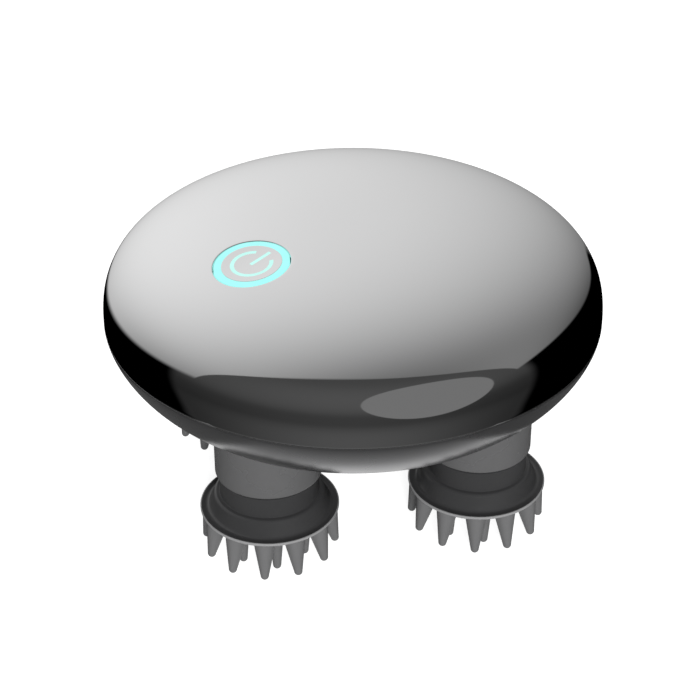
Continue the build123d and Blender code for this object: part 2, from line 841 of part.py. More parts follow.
def tact_switch():
    x, y = button_place()
    half = switch_size / 2
    body = block((x - half, y - half, board_top), (x + half, y + half, board_top + switch_height))
    bore_bottom = switch_stem_bottom() - button_travel - button_clearance
    return body - rod(switch_stem_radius + running_clearance, bore_bottom,
                      board_top + switch_height, (x, y))


def switch_stem_bottom():
    return board_top + switch_height - 2 * button_travel


def ring_lights():
    x, y = button_place()
    middle = light_ring_radius - light_ring_width / 2
    lights = []
    for k in range(light_count):
        dx, dy, _ = polar(middle, 30 + 360 * k / light_count)
        chip = Box(*light_size, align=(Align.CENTER, Align.CENTER, Align.MIN))
        lights.append(Pos(x + dx, y + dy, board_top) * chip)
    return lights


def board_chips():
    half = chip_size / 2
    chips = []
    for x, y in chip_places:
        chips.append(block((x - half, y - half, board_top), (x + half, y + half, board_top + chip_height)))
    return chips


# ---- Power button ----

def button_part(radius, bottom):
    """The dome's top layer inside a circle round the button's axis."""
    return rod(radius, bottom, seam_height + dome_rise + 1, button_place()) & dome(0)


def symbol_outline(margin=0.0):
    """An open circle and a short bar: the usual power symbol."""
    outer = symbol_radius + margin
    inner = symbol_radius - symbol_stroke - margin
    gap = symbol_gap_angle - 2 * degrees(margin / symbol_radius)
    reach = 2 * symbol_radius
    wedge = Polyline((0, 0), polar(reach, gap / 2)[:2], (reach, 0), polar(reach, -gap / 2)[:2], close=True)
    arc = Circle(outer) - Circle(inner) - make_face(wedge)
    half = symbol_stroke / 2 + margin
    length = symbol_stem_end - symbol_stem_start + 2 * margin
    bar = Pos(symbol_stem_start - margin, -half) * Rectangle(length, 2 * half, align=(Align.MIN, Align.MIN))
    return Rot(0, 0, symbol_azimuth) * (arc + bar)


def ring_bottom():
    return dome_height(button_ring_radius + light_ring_radius) - ring_edge


def face_bottom():
    return dome_height(button_ring_radius + light_ring_radius - light_ring_width) - face_edge


def symbol_prism(margin=0.0):
    x, y = button_place()
    height = seam_height + dome_rise - face_bottom()
    return Pos(x, y, face_bottom()) * extrude(symbol_outline(margin), height)


def button_face():
    radius = light_ring_radius - light_ring_width
    return button_part(radius, face_bottom()) - symbol_prism(fit_clearance)


def power_symbol():
    return symbol_prism() & dome(0)


def button_light_ring():
    inner = light_ring_radius - light_ring_width + fit_clearance
    top = seam_height + dome_rise
    return button_part(light_ring_radius, ring_bottom()) - rod(inner, seam_height, top, button_place())


def carrier_top():
    """Underside of the upper shell where the button's flange lies closest to it."""
    return dome_height(button_ring_radius + carrier_flange_radius, shell_wall) - button_stop_gap


def button_carrier():
    place = button_place()
    flange_top = carrier_top()
    carrier = rod(carrier_flange_radius, flange_top - carrier_flange, flange_top, place)
    carrier += rod(light_ring_radius, flange_top, ring_bottom(), place)
    return carrier + rod(light_ring_radius - light_ring_width, ring_bottom(), face_bottom(), place)


def switch_stem():
    return rod(switch_stem_radius, switch_stem_bottom(), carrier_top() - carrier_flange, button_place())


# ---- Charging socket ----

def charge_post_place():
    return polar(charge_board_start + charge_post_inset, socket_azimuth)[:2]


def socket_back():
    return charge_board_end - socket_recess - socket_length


def charging_board():
    half = charge_board_width / 2
    board = Rot(0, 0, socket_azimuth) * block((charge_board_start, -half, charge_board_bottom),
                                              (charge_board_end, half, charge_board_top))
    hole = rod(small_screw_radius + fit_clearance, charge_board_bottom, charge_board_top, charge_post_place())
    return board - hole


def charging_socket():
    """A metal sleeve round a thin contact tongue."""
    sleeve = RectangleRounded(socket_width, socket_height, socket_height / 2 - 0.05)
    hollow = RectangleRounded(socket_width - 2 * socket_wall, socket_height - 2 * socket_wall,
                              socket_height / 2 - socket_wall - 0.05)
    shell = extrude(sleeve, socket_length) - Pos(0, 0, 1) * extrude(hollow, socket_length)
    shell += extrude(Rectangle(*socket_tongue), socket_length - 1)
    place = Rot(0, 0, socket_azimuth) * Pos(socket_back(), 0, charge_board_top + socket_height / 2)
    return place * Rot(0, 90, 0) * Rot(0, 0, 90) * shell


# ---- Leads ----

def lead(*corners):
    """An insulated wire along straight runs joined by round bends."""
    path = FilletPolyline(*corners, radius=lead_bend)
    section = Plane(origin=path @ 0, z_dir=path % 0) * Circle(lead_radius)
    return sweep(section, path=path)


def inner_leads():
    """The motor's, the battery's and the charging board's pairs of leads."""
    leads = []
    motor_top = bracket_top + motor_length
    landing = board_edge - lead_landing
    for side in (-1, 1):
        y = side * lead_spacing / 2
        high = motor_top + motor_lead_rise
        x = motor_x - motor_lead_inset
        leads.append(lead((x, y, motor_top), (x, y, high), (landing, y, high), (landing, y, board_top)))
    for side in (-1, 1):
        x = battery_inner_end - battery_lead_inset
        y = -battery_width / 2 + battery_lead_inset + side * lead_spacing / 2
        leads.append(rod(lead_radius, battery_top, board_bottom, (x, y)))
    high = board_top + lead_rise
    for side in (-1, 1):
        behind = socket_back() - lead_gap - lead_radius
        start = Rot(0, 0, socket_azimuth) * Pos(behind, side * lead_spacing / 2)
        x, y = start.position.X, start.position.Y
        beside = lead_side + side * lead_spacing / 2
        leads.append(lead((x, y, charge_board_top), (x, y, charge_board_top + lead_climb),
                          (lead_turn, beside, high - lead_climb / 4), (landing, beside, high),
                          (landing, beside, board_top)))
    return leads


def save(name, shape):
    solids = shape if isinstance(shape, list) else shape.solids()
    export_step(Compound(children=[s for item in solids for s in item.solids()]),
                f"parts/{name}.step")


def main():
    os.makedirs("parts", exist_ok=True)
    save("lower_shell", lower_shell())
    save("upper_shell", upper_shell())
    save("seam_gasket", seam_gasket())
    save("shell_screws", shell_screws())
    save("gearbox_plate", gearbox_plate())
    save("plate_screws", plate_screws())
    save("motor_bracket", motor_bracket())
    save("bracket_screws", bracket_screws())
    save("lower_bushes", [lower_bush(place) for place in head_places()])
    save("upper_bushes", [upper_bush(place) for place in head_places()])
    save("shaft_seals", [shaft_seal(place) for place in head_places()])
    save("sun_axle", sun_axle())
    save("sun_gear", sun_gear())
    save("idler_pins", idler_pins())
    save("first_idler", first_idler())
    save("second_idler", second_idler())
    save("motor_can", motor_can())
    save("motor_end_cap", motor_end_cap())
    save("motor_magnets", motor_magnets())
    save("motor_rotor", motor_rotor())
    save("motor_shaft", motor_shaft())
    save("motor_pinion", motor_pinion())
    save("motor_screws", motor_screws())
    save("battery", battery())
    save("battery_tray", battery_tray())
    save("main_board", main_board())
    save("board_screws", board_screws())
    save("board_chips", board_chips())
    save("tact_switch", tact_switch())
    save("switch_stem", switch_stem())
    save("ring_lights", ring_lights())
    save("button_face", button_face())
    save("button_light_ring", button_light_ring())
    save("power_symbol", power_symbol())
    save("button_carrier", button_carrier())
    save("charging_board", charging_board())
    save("charging_socket", charging_socket())
    save("inner_leads", inner_leads())
    for k, place in enumerate(head_places()):
        azimuth = first_head_azimuth + 360.0 / head_count * k
        save(f"head_shaft_{k + 1}", head_shaft(place))
        save(f"head_gear_{k + 1}", head_gear(place, azimuth))
        save(f"retaining_clip_{k + 1}", retaining_clip(place))
        save(f"claw_hub_{k + 1}", claw_hub(place))
        save(f"silicone_claw_{k + 1}", silicone_claw(place))


main()
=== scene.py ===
import math

import bmesh
import bpy
import numpy as np
from mathutils import Matrix, Vector


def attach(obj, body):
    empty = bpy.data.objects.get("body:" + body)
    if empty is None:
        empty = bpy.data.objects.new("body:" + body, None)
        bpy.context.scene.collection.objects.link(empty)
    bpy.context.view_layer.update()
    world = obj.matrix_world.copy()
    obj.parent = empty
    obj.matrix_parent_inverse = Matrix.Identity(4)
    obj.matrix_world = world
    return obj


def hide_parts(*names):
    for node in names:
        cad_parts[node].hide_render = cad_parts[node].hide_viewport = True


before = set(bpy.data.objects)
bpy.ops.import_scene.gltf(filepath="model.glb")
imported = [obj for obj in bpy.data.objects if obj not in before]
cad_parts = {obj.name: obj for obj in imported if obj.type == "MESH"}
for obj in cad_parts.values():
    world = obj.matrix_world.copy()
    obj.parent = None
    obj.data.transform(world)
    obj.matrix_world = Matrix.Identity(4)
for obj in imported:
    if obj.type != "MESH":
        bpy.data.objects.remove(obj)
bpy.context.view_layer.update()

# ---- Camera ----
# A long lens, 0.28 m above the table, looks down on the button's side of the
# casing. It stands still, with no shift and everything in focus.

CAMERA_PLACE = (-0.07605, -0.37613, 0.28184)
HEADING = math.radians(78.679)
TILT = math.radians(-32.51)
ROLL = math.radians(-0.09)
FOCAL_LENGTH = 95.13
SENSOR_WIDTH = 36.0

forward = Vector((math.cos(TILT) * math.cos(HEADING), math.cos(TILT) * math.sin(HEADING), math.sin(TILT)))
level_right = forward.cross(Vector((0, 0, 1))).normalized()
level_up = level_right.cross(forward)
right = level_right * math.cos(ROLL) + level_up * math.sin(ROLL)
up = level_up * math.cos(ROLL) - level_right * math.sin(ROLL)
lens = bpy.data.cameras.new("long_lens")
lens.lens = FOCAL_LENGTH
lens.sensor_width = SENSOR_WIDTH
lens.clip_start = 0.01
lens.clip_end = 50.0
camera = bpy.data.objects.new("camera", lens)
bpy.context.collection.objects.link(camera)
camera.matrix_world = Matrix.Translation(CAMERA_PLACE) @ Matrix((right, up, -forward)).transposed().to_4x4()
bpy.context.scene.camera = camera
bpy.context.scene.view_settings.view_transform = "Standard"


# ---- Upper shell ----
# The casing's dome: plastic with a vacuum-plated mirror finish in dark silver,
# moulded 2.2 mm thick. Screws from below pull it down onto the lower shell.

MM = 0.001
BODY_RADIUS = 60.0
SEAM_HEIGHT = 50.2
DOME_RISE = 24.5
DOME_POWERS = (2.66, 2.86)
WALL = 2.2
SEAM_GAP = 0.06
RIM_EDGE = 0.06
BUTTON_REACH = 30.1
BUTTON_AZIMUTH = math.radians(-151.2)
BUTTON = BUTTON_REACH * np.array([math.cos(BUTTON_AZIMUTH), math.sin(BUTTON_AZIMUTH)])
HOLE_RADIUS = 8.95
HOLE_EDGE = 0.22
SHARP_ANGLE = math.radians(40.0)
BEND = np.linspace(0, np.pi / 2, 5)
SHELL_COLUMNS = 288
FLANK_WIDTH = 12.0
FLANK_START = 0.012
DOME_ROWS = 72
INNER_ROWS = 40
INNER_SPACING = 2.5


def around(count):
    """Angles of a full turn in equal steps."""
    return np.linspace(0, 2 * np.pi, count, endpoint=False)


def round_axis(centre, radius, phi):
    """Plan places at a distance and an angle from an upright axis."""
    return centre[0] + radius * np.cos(phi), centre[1] + radius * np.sin(phi)


def as_grid(x, y, height):
    """Points from two plan places and a height for each of them."""
    return np.stack([x, y, height + 0 * x], axis=-1)


def surface(name, patches):
    """One object from closed patches. A patch is a grid of points in mm, shape
    (rows, columns, 3), whose last column always joins its first one; its rows
    join too where the flag beside it is True."""
    points, faces, start = [], [], 0
    for grid, wrap_rows in patches:
        rows, columns = grid.shape[:2]
        bands = rows if wrap_rows else rows - 1
        i, j = np.meshgrid(np.arange(bands), np.arange(columns), indexing="ij")
        here, above = i * columns, (i + 1) % rows * columns
        beside = (j + 1) % columns
        corners = (here + j, above + j, above + beside, here + beside)
        faces.append(start + np.stack(corners, axis=-1).reshape(-1, 4))
        points.append(grid.reshape(-1, 3))
        start += rows * columns
    mesh = bpy.data.meshes.new(name)
    mesh.from_pydata((np.concatenate(points) * MM).tolist(), [], np.concatenate(faces).tolist())
    shape = bmesh.new()
    shape.from_mesh(mesh)
    bmesh.ops.remove_doubles(shape, verts=shape.verts, dist=1e-7)
    bmesh.ops.recalc_face_normals(shape, faces=shape.faces)
    shape.to_mesh(mesh)
    shape.free()
    mesh.shade_smooth()
    mesh.set_sharp_from_angle(angle=SHARP_ANGLE)
    piece = bpy.data.objects.new(name, mesh)
    bpy.context.collection.objects.link(piece)
    return piece


def carved(piece, cutters):
    """Cuts the cutters out of a piece and removes them."""
    for cutter in cutters:
        cut = piece.modifiers.new("cut", "BOOLEAN")
        cut.operation = "DIFFERENCE"
        cut.solver = "EXACT"
        cut.object = cutter
    bpy.context.view_layer.update()
    result = bpy.data.meshes.new_from_object(piece.evaluated_get(bpy.context.evaluated_depsgraph_get()))
    piece.modifiers.clear()
    piece.data = result
    result.shade_smooth()
    result.set_sharp_from_angle(angle=SHARP_ANGLE)
    for cutter in cutters:
        bpy.data.objects.remove(cutter)


def dome_height(radius, inset=0.0):
    """Height over the ground of a flattened ball, in mm:
    (r / R) ** 2.66 + (z / H) ** 2.86 = 1, with R and H smaller by the inset."""
    share = np.clip(radius / (BODY_RADIUS - inset), 0, 1) ** DOME_POWERS[0]
    return SEAM_HEIGHT + (DOME_RISE - inset) * (1 - share) ** (1 / DOME_POWERS[1])


def dome_grid():
    """Rays in plan from the button's axis out to the rim. Along each ray the path
    goes round the wall: over the outer face from the rim to the button's hole,
    down the hole, and back along the inner face. The flank next to the rim has
    its points at equal steps of the curve's angle."""
    phi = around(SHELL_COLUMNS)[:, None]
    lean = np.cos(phi - BUTTON_AZIMUTH)

    def reach(radius):
        """Distance along the ray to the circle of that radius round the casing's axis."""
        return -BUTTON_REACH * lean + np.sqrt(radius ** 2 - BUTTON_REACH ** 2 * (1 - lean ** 2))

    def plan_radius(along):
        """Distance from the casing's axis of the point that far along the ray."""
        return np.sqrt(BUTTON_REACH ** 2 + along ** 2 + 2 * BUTTON_REACH * along * lean)

    rim = SEAM_HEIGHT + SEAM_GAP / 2
    bead = reach((BODY_RADIUS - RIM_EDGE + RIM_EDGE * np.sin(BEND))[None, :])
    bead_heights = np.broadcast_to(rim + RIM_EDGE - RIM_EDGE * np.cos(BEND), bead.shape)

    flank_end = plan_radius(reach(BODY_RADIUS) - FLANK_WIDTH)
    first = np.arcsin(((RIM_EDGE + SEAM_GAP / 2) / DOME_RISE) ** (DOME_POWERS[1] / 2))
    last = np.arccos((flank_end / BODY_RADIUS) ** (DOME_POWERS[0] / 2))
    theta = first + (last - first) * np.linspace(FLANK_START, 1, DOME_ROWS)[None, :]
    flank = reach(BODY_RADIUS * np.cos(theta) ** (2 / DOME_POWERS[0]))
    flank_heights = SEAM_HEIGHT + DOME_RISE * np.sin(theta) ** (2 / DOME_POWERS[1])

    mouth_start = HOLE_RADIUS + HOLE_EDGE
    top = flank[:, -1:] + (mouth_start - flank[:, -1:]) * np.linspace(0, 1, DOME_ROWS)[None, 1:]
    top_heights = dome_height(plan_radius(top))

    bend = BEND[None, 1:]
    mouth = mouth_start - HOLE_EDGE * np.sin(bend) + 0 * phi
    mouth_top = dome_height(plan_radius(np.full_like(phi, mouth_start)))
    mouth_heights = mouth_top - HOLE_EDGE + HOLE_EDGE * np.cos(bend)

    foot = np.full_like(phi, HOLE_RADIUS)
    foot_height = dome_height(plan_radius(foot), WALL)
    spacing = 1 - (1 - np.linspace(0, 1, INNER_ROWS)[None, 1:]) ** INNER_SPACING
    back = foot + (reach(BODY_RADIUS - WALL - 1e-3) - foot) * spacing
    back_heights = np.maximum(dome_height(plan_radius(back), WALL), rim)

    along = np.concatenate([bead, flank, top, mouth, foot, back], axis=1)
    heights = [bead_heights, flank_heights, top_heights, mouth_heights, foot_height, back_heights]
    x, y = round_axis(BUTTON, along, phi)
    return as_grid(x, y, np.concatenate(heights, axis=1)).transpose(1, 0, 2)


PORT_AZIMUTH = math.radians(30.0)
PORT_HEIGHT = 54.93
PORT_HALF = (4.97, 2.13)
PORT_CORNER = 2.08
PORT_CORNER_POINTS = 12
PORT_CUT = (52, 66)


def port_outline():
    """The port's rounded slot: four corner arcs about (+-(w - c), +-(h - c))."""
    angles = [np.linspace(q, q + 1, PORT_CORNER_POINTS) for q in range(4)]
    angles = np.concatenate(angles) * np.pi / 2
    quarter = np.repeat(np.arange(4), PORT_CORNER_POINTS)
    across = np.array([1, -1, -1, 1])[quarter] * (PORT_HALF[0] - PORT_CORNER)
    upward = np.array([1, 1, -1, -1])[quarter] * (PORT_HALF[1] - PORT_CORNER)
    return across + PORT_CORNER * np.cos(angles), upward + PORT_CORNER * np.sin(angles)


def port_cutter():
    """A prism along the port's azimuth, its section the port's rounded slot."""
    across, upward = port_outline()
    outward = np.array([math.cos(PORT_AZIMUTH), math.sin(PORT_AZIMUTH), 0])
    sideways = np.array([-outward[1], outward[0], 0])
    section = across[:, None] * sideways + upward[:, None] * np.array([0, 0, 1.0])
    near, far = [outward * reach + np.array([0, 0, PORT_HEIGHT]) for reach in PORT_CUT]
    rings = np.stack([near + 0 * section, near + section, far + section, far + 0 * section])
    return surface("port_cutter", [(rings, False)])


def new_group(name, inputs, outputs):
    """A shader group, its inputs given as (kind, name, default) and its outputs as
    (kind, name)."""
    group = bpy.data.node_groups.new(name, "ShaderNodeTree")
    for kind, label, value in inputs:
        group.interface.new_socket(label, in_out="INPUT", socket_type=kind).default_value = value
    for kind, label in outputs:
        group.interface.new_socket(label, in_out="OUTPUT", socket_type=kind)
    return group, group.nodes.new("NodeGroupInput"), group.nodes.new("NodeGroupOutput")


def fine_finish_group():
    """Small unevenness that every moulded or machined face has. Noise on Object
    coordinates moves the colour between two tones and the roughness between two
    limits; a second, finer noise gives a height for a bump."""
    mid_grey = (0.5, 0.5, 0.5, 1)
    group, source, sink = new_group(
        "fine_finish",
        [("NodeSocketColor", "Colour", mid_grey), ("NodeSocketColor", "Second colour", mid_grey),
         ("NodeSocketFloat", "Patch scale", 60.0), ("NodeSocketFloat", "Grain scale", 2500.0),
         ("NodeSocketFloat", "Roughness low", 0.3), ("NodeSocketFloat", "Roughness high", 0.4)],
        [("NodeSocketColor", "Colour"), ("NodeSocketFloat", "Roughness"), ("NodeSocketFloat", "Height")])
    nodes, links = group.nodes, group.links
    place = nodes.new("ShaderNodeTexCoord")
    patches = nodes.new("ShaderNodeTexNoise")
    patches.inputs["Detail"].default_value = 4.0
    grain = nodes.new("ShaderNodeTexNoise")
    grain.inputs["Detail"].default_value = 2.0
    links.new(place.outputs["Object"], patches.inputs["Vector"])
    links.new(place.outputs["Object"], grain.inputs["Vector"])
    links.new(source.outputs["Patch scale"], patches.inputs["Scale"])
    links.new(source.outputs["Grain scale"], grain.inputs["Scale"])
    tone = nodes.new("ShaderNodeMix")
    tone.data_type = "RGBA"
    links.new(patches.outputs["Fac"], tone.inputs["Factor"])
    links.new(source.outputs["Colour"], tone.inputs["A"])
    links.new(source.outputs["Second colour"], tone.inputs["B"])
    spread = nodes.new("ShaderNodeMapRange")
    spread.inputs["From Min"].default_value = 0.3
    spread.inputs["From Max"].default_value = 0.7
    links.new(patches.outputs["Fac"], spread.inputs["Value"])
    links.new(source.outputs["Roughness low"], spread.inputs["To Min"])
    links.new(source.outputs["Roughness high"], spread.inputs["To Max"])
    links.new(tone.outputs["Result"], sink.inputs["Colour"])
    links.new(spread.outputs["Result"], sink.inputs["Roughness"])
    links.new(grain.outputs["Fac"], sink.inputs["Height"])
    return group


FINE_FINISH = fine_finish_group()
GRAIN_DEPTH = 0.00002


def finish_material(name, colour, second, roughness, patch_scale, grain_scale, bump, metallic=0.0):
    """A Principled material whose colour, roughness and bump come from the fine finish.
    It is a plastic unless metallic is given."""
    material = bpy.data.materials.new(name)
    material.use_nodes = True
    nodes, links = material.node_tree.nodes, material.node_tree.links
    shader = nodes["Principled BSDF"]
    shader.inputs["Metallic"].default_value = metallic
    effect = nodes.new("ShaderNodeGroup")
    effect.node_tree = FINE_FINISH
    effect.inputs["Colour"].default_value = (*colour, 1)
    effect.inputs["Second colour"].default_value = (*second, 1)
    effect.inputs["Patch scale"].default_value = patch_scale
    effect.inputs["Grain scale"].default_value = grain_scale
    effect.inputs["Roughness low"].default_value = roughness[0]
    effect.inputs["Roughness high"].default_value = roughness[1]
    relief = nodes.new("ShaderNodeBump")
    relief.inputs["Strength"].default_value = bump
    relief.inputs["Distance"].default_value = GRAIN_DEPTH
    links.new(effect.outputs["Colour"], shader.inputs["Base Color"])
    links.new(effect.outputs["Roughness"], shader.inputs["Roughness"])
    links.new(effect.outputs["Height"], relief.inputs["Height"])
    links.new(relief.outputs["Normal"], shader.inputs["Normal"])
    return material


plated_silver = finish_material(
    "plated_silver", colour=(0.80, 0.80, 0.80), second=(0.78, 0.78, 0.785), metallic=1.0,
    roughness=(0.035, 0.05), patch_scale=25.0, grain_scale=900.0, bump=0.01)
dome_skin = surface("dome_skin", [(dome_grid(), True)])
carved(dome_skin, [port_cutter()])
dome_skin.data.materials.append(plated_silver)
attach(dome_skin, "casing")
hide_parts("upper_shell")


# ---- Power button's face ----
# A round cap with the same plating, nearly flat for the fingertip, which sinks
# half a millimetre when pressed. A clear symbol is moulded into it.

FACE_RADIUS = 7.0
FACE_DEPTH = 0.9
FACE_FLAT = 0.32
FACE_EDGE = 0.05
BUTTON_DROP = 0.1
CAP_COLUMNS = 120
CAP_ROWS = 24


def face_height(x, y):
    """Height of the cap's top: the dome's height, less 0.1 mm, less
    0.32 mm * (1 - (distance from the button's axis / 7 mm) ** 2)."""
    share = np.hypot(x - BUTTON[0], y - BUTTON[1]) / FACE_RADIUS
    return dome_height(np.hypot(x, y)) - BUTTON_DROP - FACE_FLAT * (1 - share ** 2)


def cap_grid():
    """Rings round the button's axis from the centre of the top out, a rounded
    edge, a straight wall and a flat underside."""
    rings = np.linspace(0, FACE_RADIUS - FACE_EDGE, CAP_ROWS)[:, None]
    bend = BEND[1:, None]
    edge = FACE_RADIUS - FACE_EDGE + FACE_EDGE * np.sin(bend)
    along = np.concatenate([rings, edge, [[FACE_RADIUS]], [[0.0]]])
    edge_drop = FACE_EDGE - FACE_EDGE * np.cos(bend)
    drop = np.concatenate([0 * rings, edge_drop, [[FACE_DEPTH]], [[FACE_DEPTH]]])
    x, y = round_axis(BUTTON, along, around(CAP_COLUMNS)[None, :])
    return as_grid(x, y, face_height(x, y) - drop)


button_cap = surface("button_cap", [(cap_grid(), False)])
button_cap.data.materials.append(plated_silver)
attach(button_cap, "power_button")
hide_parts("button_face")


# ---- Light ring ----
# A milky ring round the cap, moulded in clear plastic and pressed over the
# carrier. Small lights on the board below shine through it in pale cyan.

RING_INNER = 7.02
RING_OUTER = 8.72
RING_DEPTH = 1.15
RING_EDGE = 0.07
RING_CROWN = 0.05
RING_COLUMNS = 160
CROWN_ROWS = 11
GLOW_STRENGTH = 0.9


def ring_grid():
    """A closed section carried round the button's axis: the top follows the dome
    with a crown of 0.05 mm, and both upper edges are rounded to 0.07 mm."""
    across = np.linspace(0, 1, CROWN_ROWS)[1:-1]
    width = RING_OUTER - RING_INNER
    along = np.concatenate([
        [RING_INNER], RING_INNER + RING_EDGE - RING_EDGE * np.cos(BEND),
        RING_INNER + RING_EDGE + (width - 2 * RING_EDGE) * across,
        RING_OUTER - RING_EDGE + RING_EDGE * np.sin(BEND), [RING_OUTER]])[:, None]
    lift = np.concatenate([
        [-RING_DEPTH], -RING_EDGE + RING_EDGE * np.sin(BEND), RING_CROWN * np.sin(np.pi * across),
        -RING_EDGE + RING_EDGE * np.cos(BEND), [-RING_DEPTH]])[:, None]
    x, y = round_axis(BUTTON, along, around(RING_COLUMNS)[None, :])
    return as_grid(x, y, dome_height(np.hypot(x, y)) - BUTTON_DROP + lift)


def glow_material(name, glow, body):
    """Milky plastic lit from behind: the glow is a little uneven, as small lights
    under it leave brighter places."""
    material = finish_material(name, colour=body, second=tuple(0.9 * c for c in body),
                               roughness=(0.25, 0.35), patch_scale=400.0, grain_scale=4000.0, bump=0.05)
    nodes, links = material.node_tree.nodes, material.node_tree.links
    shader = nodes["Principled BSDF"]
    place = nodes.new("ShaderNodeTexCoord")
    noise = nodes.new("ShaderNodeTexNoise")
    noise.inputs["Scale"].default_value = 260.0
    ramp = nodes.new("ShaderNodeValToRGB")
    dimmer, brighter = ramp.color_ramp.elements
    dimmer.position = 0.3
    dimmer.color = (*[0.93 * c for c in glow], 1)
    brighter.position = 0.7
    brighter.color = (*glow, 1)
    links.new(place.outputs["Object"], noise.inputs["Vector"])
    links.new(noise.outputs["Fac"], ramp.inputs["Fac"])
    links.new(ramp.outputs["Color"], shader.inputs["Emission Color"])
    shader.inputs["Emission Strength"].default_value = GLOW_STRENGTH
    return material


ring_glow = glow_material("ring_glow", glow=(0.34, 0.84, 0.80), body=(0.10, 0.30, 0.29))
light_ring = surface("light_ring", [(ring_grid(), True)])
light_ring.data.materials.append(ring_glow)
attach(light_ring, "power_button")
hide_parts("button_light_ring")


# ---- Power symbol ----
# The usual open circle with a short bar, in the same clear plastic as the ring
# and lit by it. It is moulded through the cap, so it wears with it.

SYMBOL_AZIMUTH = math.radians(32.5)
SYMBOL_RADII = (4.0, 5.0)
SYMBOL_GAP = math.radians(35.0)
SYMBOL_BAR = (-0.3, 5.6)
SYMBOL_WIDTH = 1.0
SYMBOL_RISE = 0.03
SYMBOL_DEPTH = 0.4
SYMBOL_EDGE = 0.06
ARC_ROWS = 73
BAR_ROWS = 12


def inlay(left, right):
    """A flat strip between two lines of plan points, as an eight-point section
    carried along them. Each end shrinks to the middle of its section."""
    share = np.array([0, 0, SYMBOL_EDGE, 0.5, 1 - SYMBOL_EDGE, 1, 1, 0.5])
    drop = np.array([SYMBOL_DEPTH, SYMBOL_EDGE, 0, 0, 0, SYMBOL_EDGE, SYMBOL_DEPTH, SYMBOL_DEPTH])
    plan = left[:, None, :] + (right - left)[:, None, :] * share[None, :, None]
    x, y = plan[..., 0], plan[..., 1]
    grid = as_grid(x, y, face_height(x, y) + SYMBOL_RISE - drop[None, :])
    start, end = [grid[k].mean(axis=0, keepdims=True).repeat(8, axis=0)[None] for k in (0, -1)]
    return np.concatenate([start, grid, end])


def symbol_plan(along, sideways):
    """Plan points from distances along and across the symbol's own axis."""
    ahead = np.array([math.cos(SYMBOL_AZIMUTH), math.sin(SYMBOL_AZIMUTH)])
    aside = np.array([-ahead[1], ahead[0]])
    return BUTTON + along[:, None] * ahead + sideways[:, None] * aside


sweep = np.linspace(SYMBOL_GAP, 2 * np.pi - SYMBOL_GAP, ARC_ROWS)
arc = inlay(*[symbol_plan(radius * np.cos(sweep), radius * np.sin(sweep)) for radius in SYMBOL_RADII])
bar_line = np.linspace(*SYMBOL_BAR, BAR_ROWS)
bar = inlay(*[symbol_plan(bar_line, 0 * bar_line + side * SYMBOL_WIDTH / 2) for side in (-1, 1)])
symbol_glow = glow_material("symbol_glow", glow=(0.46, 0.80, 0.74), body=(0.15, 0.30, 0.28))
lit_symbol = surface("lit_symbol", [(arc, False), (bar, False)])
lit_symbol.data.materials.append(symbol_glow)
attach(lit_symbol, "power_button")
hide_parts("power_symbol")


# ---- Lower shell ----
# The casing's bowl, moulded 2.2 mm thick in plastic with a satin metallic
# lacquer. Four round recesses in it take the screws that hold the dome.

BOWL_DEPTH = 21.4
BOWL_POWERS = (4.0, 1.5)
BOWL_ROWS = 90
SCREW_RING = 48.8
SCREW_HOLE = 1.4
RECESS_RADIUS = 2.4
RECESS_TOP = 41.2
RECESS_SEAT = 2.4
RECESS_WALL = 1.2
RECESS_CUT = (30, 45)
RECESS_INSET = 0.06
TUBE_COLUMNS = 48


def bowl_height(radius, inset=0.0):
    """Height over the ground of the bowl, in mm: (r / R) ** 4 + (drop / D) ** 1.5 = 1,
    with the radius R and the depth D smaller by the inset."""
    share = np.clip(radius / (BODY_RADIUS - inset), 0, 1) ** BOWL_POWERS[0]
    return SEAM_HEIGHT - (BOWL_DEPTH - inset) * (1 - share) ** (1 / BOWL_POWERS[1])


def bowl_grid():
    """A closed wall section turned about the axis: the rounded outer rim, the
    outer face down to the pole, and the inner face back up to the inner rim."""
    rim = SEAM_HEIGHT - SEAM_GAP / 2
    theta = np.linspace(0, 1, BOWL_ROWS)
    outer = BODY_RADIUS * np.cos(theta * np.pi / 2) ** (2 / BOWL_POWERS[0])
    outer[-1] = 0
    outer_height = np.minimum(bowl_height(outer), rim - RIM_EDGE)
    inner = (BODY_RADIUS - WALL) * np.cos((1 - theta) * np.pi / 2) ** (2 / BOWL_POWERS[0])
    inner[0] = 0
    inner_height = np.minimum(bowl_height(inner, WALL), rim)
    bead = BODY_RADIUS - RIM_EDGE + RIM_EDGE * np.sin(BEND)
    bead_height = rim - RIM_EDGE + RIM_EDGE * np.cos(BEND)
    radius = np.concatenate([bead, outer[1:], inner])[:, None]
    height = np.concatenate([bead_height, outer_height[1:], inner_height])[:, None]
    x, y = round_axis((0, 0), radius, around(SHELL_COLUMNS)[None, :])
    return as_grid(x, y, height)


def upright_tube(centre, inner, outer, bottom, top):
    """A closed tube or, with an inner radius of 0, a closed post. The bottom is
    a function of the distance from the casing's axis, the top a height."""
    radius = np.array([outer, outer, inner, inner])[:, None]
    x, y = round_axis(centre, radius, around(TUBE_COLUMNS)[None, :])
    at_top = np.array([False, True, True, False])[:, None]
    return as_grid(x, y, np.where(at_top, top, bottom(np.hypot(x, y))))


def recess_cutter(number, place):
    """A post that opens a screw's recess through the bowl's wall."""
    post = upright_tube(place, 0, RECESS_RADIUS, lambda distance: RECESS_CUT[0], RECESS_CUT[1])
    return surface(f"recess_cutter_{number}", [(post, False)])


def recess_cup(place):
    """A recess's side wall, from just inside the bowl's face up to the seat."""
    return upright_tube(place, RECESS_RADIUS, RECESS_RADIUS + RECESS_WALL,
                        lambda distance: bowl_height(distance) + RECESS_INSET, RECESS_TOP)


